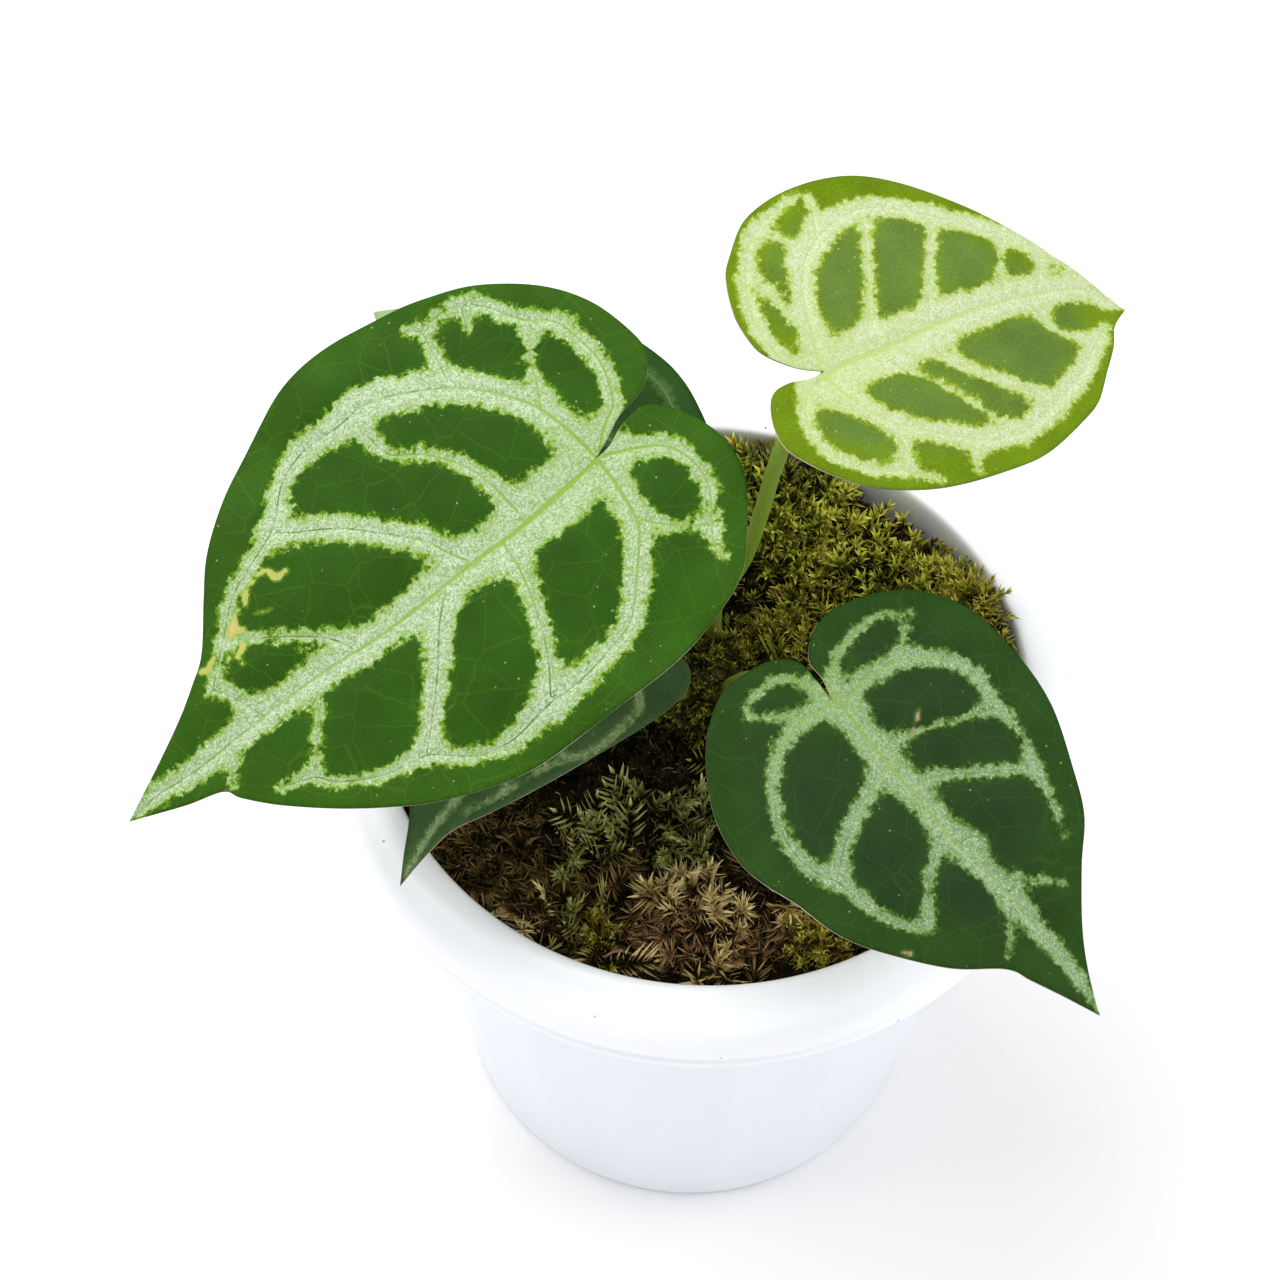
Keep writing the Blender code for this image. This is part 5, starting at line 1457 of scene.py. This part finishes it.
# %% Flat sheet of a blade
HEX_ROW = 0.866


def blade_sheet(ring, spacing):
    """The points and triangles inside a closed outline."""
    low, high = ring.min(0), ring.max(0)
    rows = np.arange(low[1], high[1], spacing * HEX_ROW)
    grid = []
    for number, row in enumerate(rows):
        columns = np.arange(low[0] + (number % 2) * spacing / 2, high[0], spacing)
        grid.append(np.stack([columns, np.full(len(columns), row)], 1))
    grid = np.vstack(grid)
    grid = grid[inside(grid, ring)]
    grid = grid[from_margin(grid, ring) > spacing * 0.5]
    flat = [Vector(point) for point in np.vstack([ring, grid])]
    points, _, faces, *_ = delaunay_2d_cdt(flat, [], [list(range(len(ring)))], 1, 1e-6)
    assert len(points) == len(flat)
    points, triangles = np.array([tuple(p) for p in points]), np.array([tuple(f) for f in faces])
    a, b, c = (points[triangles[:, k]] for k in range(3))
    backwards = np.cross(b - a, c - a) < 0
    triangles[backwards] = triangles[backwards][:, ::-1]
    return points, triangles


def margin_strip(ring, count):
    """The faces that join the upper and the lower sheet along the margin, facing outwards."""
    step = np.arange(len(ring))
    after = (step + 1) % len(ring)
    x, y = ring.T
    turn_way = 1 if (x * np.roll(y, -1) - np.roll(x, -1) * y).sum() > 0 else -1
    return np.stack([step, step + count, after + count, after], 1)[:, ::turn_way]


print("sheet maker ready")

# %% [markdown]
# The sheet is bent by the rule above, pressed in along its veins, and doubled for the underside, where the
# same veins stand proud. The values for the markings go with its points, and its UV map is the flat drawing.

# %% Blade maker
RIB_GROOVE, SILVER_GROOVE, EDGE_TAPER = 0.38, 0.30, 0.10


def make_blade(name, spacing, swell, blend_size):
    leaf = LEAVES[name]
    control = leaf["outline"]
    tip = int(np.argmax([x for x, _ in control]))
    ring = smooth_line(control, spacing, closed=True, corners=(0, tip))
    points, triangles = blade_sheet(ring, spacing)
    count = len(points)
    values = vein_values(points, VEINS[name], swell, control[tip][0], blend_size)
    values["margin"] = from_margin(points, ring)
    values["margin"][:len(ring)] = 0.0
    values["harm"] = harm_values(points, HARM.get(name, []))

    groove = (RIB_GROOVE * np.exp(-(values["rib"] / 3.5) ** 2)
              + SILVER_GROOVE * np.exp(-np.maximum(values["silver"], 0.0) / 1.2) * (values["margin"] > 0.5))
    taper = EDGE_TAPER * np.exp(-values["margin"] / 0.8)
    x, y = points.T
    upper = leaf_points(leaf, x, y, -groove - taper)
    lower = leaf_points(leaf, x, y, -BLADE_THICKNESS - 0.7 * groove + taper)
    faces = [tuple(face) for sheet in (triangles, triangles[:, ::-1] + count, margin_strip(ring, count))
             for face in sheet.tolist()]
    kinds = [0] * len(triangles) + [1] * len(triangles) + [2] * len(ring)
    materials = [upper_finish(name), under_finish(name), edge_finish(name)]
    blade = add_piece(name + "_blade", np.vstack([upper, lower]), faces, materials, True, kinds)
    for key, value in values.items():
        set_attribute(blade, key, np.concatenate([value, value]))
    layer = blade.data.uv_layers.new(name="blade")
    corners = np.empty(len(blade.data.loops), np.int32)
    blade.data.loops.foreach_get("vertex_index", corners)
    both = np.vstack([points, points])
    layer.data.foreach_set("uv", (both[corners] / UV_SPAN + 0.5).astype(np.float32).ravel())
    settle(blade, name)


print("blade maker ready")

# %% [markdown]
# The three leaves in front get finer sheets than the two behind them, of which little shows.

# %% Make the five blades
# The sheet's spacing, the swell of the silver and how softly its edges blend where veins meet.
BLADES = {"leaf_1": (0.7, 1.02, 1.25), "leaf_2": (0.7, 1.15, 1.2), "leaf_3": (0.7, 1.12, 1.25),
          "leaf_4": (1.1, 0.6, 0.6), "leaf_5": (1.1, 1.15, 0.8)}
for name, sizes in BLADES.items():
    make_blade(name, *sizes)

# %% [markdown]
# ## Stalks
# A stalk is a smooth round rod that swells into a knuckle under its blade. It follows a path, so a Geometry
# Nodes tree makes it: the path's points carry a thickness, a circle is swept along them, and the ends are
# filled.

# %% Stalk tree
stalk_tree, given, stalk_titles = new_mesh_tree("stalk sweeping", {"Sides": "Int", "Material": "Material"})
path = add_node(stalk_tree, "GeometryNodeMeshToCurve", {"Mesh": given["Ground"]})
thick = add_node(stalk_tree, "GeometryNodeInputNamedAttribute", {"Name": "thick"}, data_type="FLOAT")
circle = add_node(stalk_tree, "GeometryNodeCurvePrimitiveCircle", {"Resolution": given["Sides"],
                                                                   "Radius": 1.0})
sweep = add_node(stalk_tree, "GeometryNodeCurveToMesh",
                 {"Curve": path.outputs[0], "Profile Curve": circle.outputs[0],
                  "Scale": thick.outputs[0], "Fill Caps": True})
end_mesh_tree(stalk_tree, sweep.outputs[0], given["Material"])
print("stalk inputs:", list(stalk_titles))

# %% [markdown]
# A stalk is brownish green at its foot, fresh green above and paler at the knuckle. The value "reach", which
# runs along the path, drives this. Noise on places squeezed in height draws out fine upright streaks.

# %% Stalk finish
stalk_green, tree, shader = new_material("stalk_green", {"Roughness": 0.5, "Specular IOR Level": 0.25})
reach_on, place = attribute(tree, "reach"), object_place(tree)
streaks = noise(stretched(place, 0.06), 1900.0)
base_tone = blend(ramp(reach_on, 0.0, 0.45), colour(108, 106, 46), colour(126, 154, 42))
base_tone = blend(ramp(reach_on, 0.86, 1.0), base_tone, colour(148, 172, 64))
streaked = blend(0.5 * streaks, base_tone, colour(92, 120, 36))
flecks = ramp(noise(place, 900.0, 3.0, 0.6), 0.62, 0.72)
feed(shader.inputs["Base Color"], blend(0.2 * flecks, streaked, colour(190, 196, 138)))
bump(shader, streaks, 0.15, 0.0003)
print("material:", stalk_green.name)

# %% [markdown]
# A stalk starts a little thicker than it goes on. It climbs through its own measured points and enters the
# blade from below, straight along the blade's outward direction.

# %% Make the stalks
STALK_BASE_RADIUS, BASE_SHARE = 1.9, 0.22
STALK_RADIUS = 1.5
KNUCKLE_RADIUS, KNUCKLE_AT, KNUCKLE_LENGTH = 2.0, 1.0, 5.5
SEAT_ALONG, SEAT_DEPTH, SEAT_APPROACH = 1.6, 0.9, 3.0
STALK_STEP, STALK_SIDES = 1.6, 28


def stalk_path(leaf):
    """The stalk's centre line: its own points, then a turn into the blade from below."""
    out = leaf_axes(leaf)[2]
    seat = leaf_points(leaf, SEAT_ALONG, 0.0, -SEAT_DEPTH)
    return smooth_line([*leaf["stalk"], seat - SEAT_APPROACH * out, seat], STALK_STEP)


def make_stalk(number):
    name = f"petiole_{number}"
    line = stalk_path(LEAVES[f"leaf_{number}"])
    steps = np.concatenate([[0.0], np.cumsum(np.linalg.norm(np.diff(line, axis=0), axis=1))])
    share = steps / steps[-1]
    to_end = steps[-1] - steps
    at_base, at_knuckle = share / BASE_SHARE, (to_end - KNUCKLE_AT) / KNUCKLE_LENGTH
    thickness = (STALK_RADIUS + (STALK_BASE_RADIUS - STALK_RADIUS) * np.exp(-at_base ** 2)
                 + (KNUCKLE_RADIUS - STALK_RADIUS) * np.exp(-at_knuckle ** 2))
    mesh = bpy.data.meshes.new(name)
    mesh.from_pydata(line * MM, [(i, i + 1) for i in range(len(line) - 1)], [])
    guide = into_scene("guide", mesh)
    set_attribute(guide, "thick", thickness * MM)
    set_attribute(guide, "reach", share)
    swept = run_mesh_tree(guide, stalk_tree, stalk_titles, {"Sides": STALK_SIDES, "Material": stalk_green})
    swept.polygons.foreach_set("use_smooth", [len(face.vertices) == 4 for face in swept.polygons])
    settle(into_scene(f"stalk_{number}", swept), name)


for number in range(1, 6):
    make_stalk(number)

# %% [markdown]
# ## Crown
# All stalks leave one short stem. It is ringed with the scars of old stalks and wrapped in papery brown
# sheaths that dried as the leaves opened. The stem is turned from a section; each sheath is a pointed sheet,
# curved round the stem and given a wall. Stem and sheaths share one fibrous finish.

# %% Crown finish
bark, tree, shader = new_material("crown_bark", {"Roughness": 0.8, "Specular IOR Level": 0.25})
place = object_place(tree)
papery = use_group(tree, mottle, {"Place": place, "Coarse": 150.0, "Fine": 900.0,
                                  "Light": colour(84, 70, 34), "Dark": colour(36, 30, 12)})
fibres = noise(stretched(place, 0.08), 2600.0)
feed(shader.inputs["Base Color"], blend(0.5 * fibres, papery["Color"], colour(108, 90, 50)))
bump(shader, fibres, 0.5, 0.0006)
print("material:", bark.name)

# %% [markdown]
# The stem's section runs through a few radii, with fine rings pressed in above the moss. Moss has crept up
# it, so the growing tree runs once more with the stem as its ground.

# %% Crown stem and its tuft of moss
CROWN_FOOT_Z, CROWN_TOP_Z, CROWN_SEGMENTS = 112, 144.6, 64
RINGS_FROM_Z, TUFT_FROM_Z, TUFT_FADE = 121, 0.127, 0.004
CROWN_SECTION = [(4.6, CROWN_FOOT_Z), (6.2, 120), (6.9, 126), (7.2, 130), (7.55, 134), (7.5, 137.5),
                 (6.6, 141.5), (4.4, 144), (2, CROWN_TOP_Z)]
crown_section = smooth_line(CROWN_SECTION, 0.7)
ring_marks = 0.25 * np.sin(crown_section[:, 1] * 2.1) - 0.25
crown_section[:, 0] += np.where(crown_section[:, 1] > RINGS_FROM_Z, ring_marks, 0.0)
crown = lathe_piece("crown_stem", [(0, CROWN_FOOT_Z), *crown_section, (0, CROWN_TOP_Z)],
                    CROWN_SEGMENTS, bark)
settle(crown, "crown")
crown_high = np.array([vertex.co.z for vertex in crown.data.vertices])
set_attribute(crown, "crown moss", np.clip((crown_high - TUFT_FROM_Z) / TUFT_FADE, 0.0, 1.0))
tuft = make_shoot("crown_tuft", 12, 2.2, 3.2, 1.3, 0.05, 0.56, 41)
# The second layer wears the near-black under colours, as painted shade at the foot of the stem.
moss_piece("moss_crown", [grow(tuft, "crown moss", 1.5, 0.7, 0.7, 1.2, 42, moss["olive"], crown),
                          grow(tuft, "crown moss", 2.2, 0.9, 0.7, 1.3, 43, moss["under"], crown)])
remove(tuft)

# %% [markdown]
# Five sheaths stand round the stem. Each is a small grid in two layers, and a strip closes its border.

# %% Sheaths
# Each sheath's turn about the stem, foot, height, width and flare.
SHEATHS = ((0.4, 127, 13, 6, 0.9), (1.7, 126, 11, 5.5, 0.7), (2.9, 127, 14, 6, 0.8), (4.1, 126, 11, 5.5, 1.0),
           (5.2, 127, 13, 6, 0.7))
SHEATH_ROWS, SHEATH_COLUMNS, SHEATH_WALL = 12, 6, 0.35
SHEATH_RADIUS, SHEATH_CURVE = 7.3, 7.6


def sheath(turn, foot_z, height, width, flare):
    """A pointed papery sheet beside the stem, as a grid with a wall."""
    rows, columns = SHEATH_ROWS, SHEATH_COLUMNS
    points = []
    for side in (0.0, SHEATH_WALL):
        for row in range(rows + 1):
            share = row / rows
            half = 0.5 * width * (1.0 - share ** 2.2) + 0.05
            for column in range(columns + 1):
                across = (2.0 * column / columns - 1.0) * half
                radius = SHEATH_RADIUS + flare * share ** 2 + side + 0.06 * across ** 2 * share
                angle = turn + across / SHEATH_CURVE
                points.append((radius * math.cos(angle), radius * math.sin(angle),
                               foot_z + height * share + 0.3 * math.sin(3 * across + 9 * share)))
    wide, sheet = columns + 1, (rows + 1) * (columns + 1)
    faces = []
    for row in range(rows):
        for column in range(columns):
            low = row * wide + column
            faces.append((low, low + wide, low + wide + 1, low + 1))
            faces.append(tuple(sheet + corner for corner in (low, low + 1, low + wide + 1, low + wide)))
    border = [*range(wide), *(row * wide + columns for row in range(1, rows + 1)),
              *(rows * wide + column for column in range(columns - 1, -1, -1)),
              *(row * wide for row in range(rows - 1, 0, -1))]
    for one, two in zip(border, border[1:] + border[:1]):
        faces.append((one, two, two + sheet, one + sheet))
    return points, faces


sheath_points, sheath_faces = [], []
for sizes in SHEATHS:
    points, faces = sheath(*sizes)
    sheath_faces += [tuple(corner + len(sheath_points) for corner in face) for face in faces]
    sheath_points += points
settle(add_piece("crown_sheaths", sheath_points, sheath_faces, [bark]), "crown")

# %% [markdown]
# ## Size of the pieces
# The finer pieces are meant to stay inside the box of the solids. Both boxes are printed side by side.

# %% Print the boxes and finish
visual_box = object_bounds()
sizes = {"cad": [list(corner) for corner in cad_box], "visual": [list(corner) for corner in visual_box]}
print("boxes:", {key: [[round(v, 4) for v in corner] for corner in box] for key, box in sizes.items()})
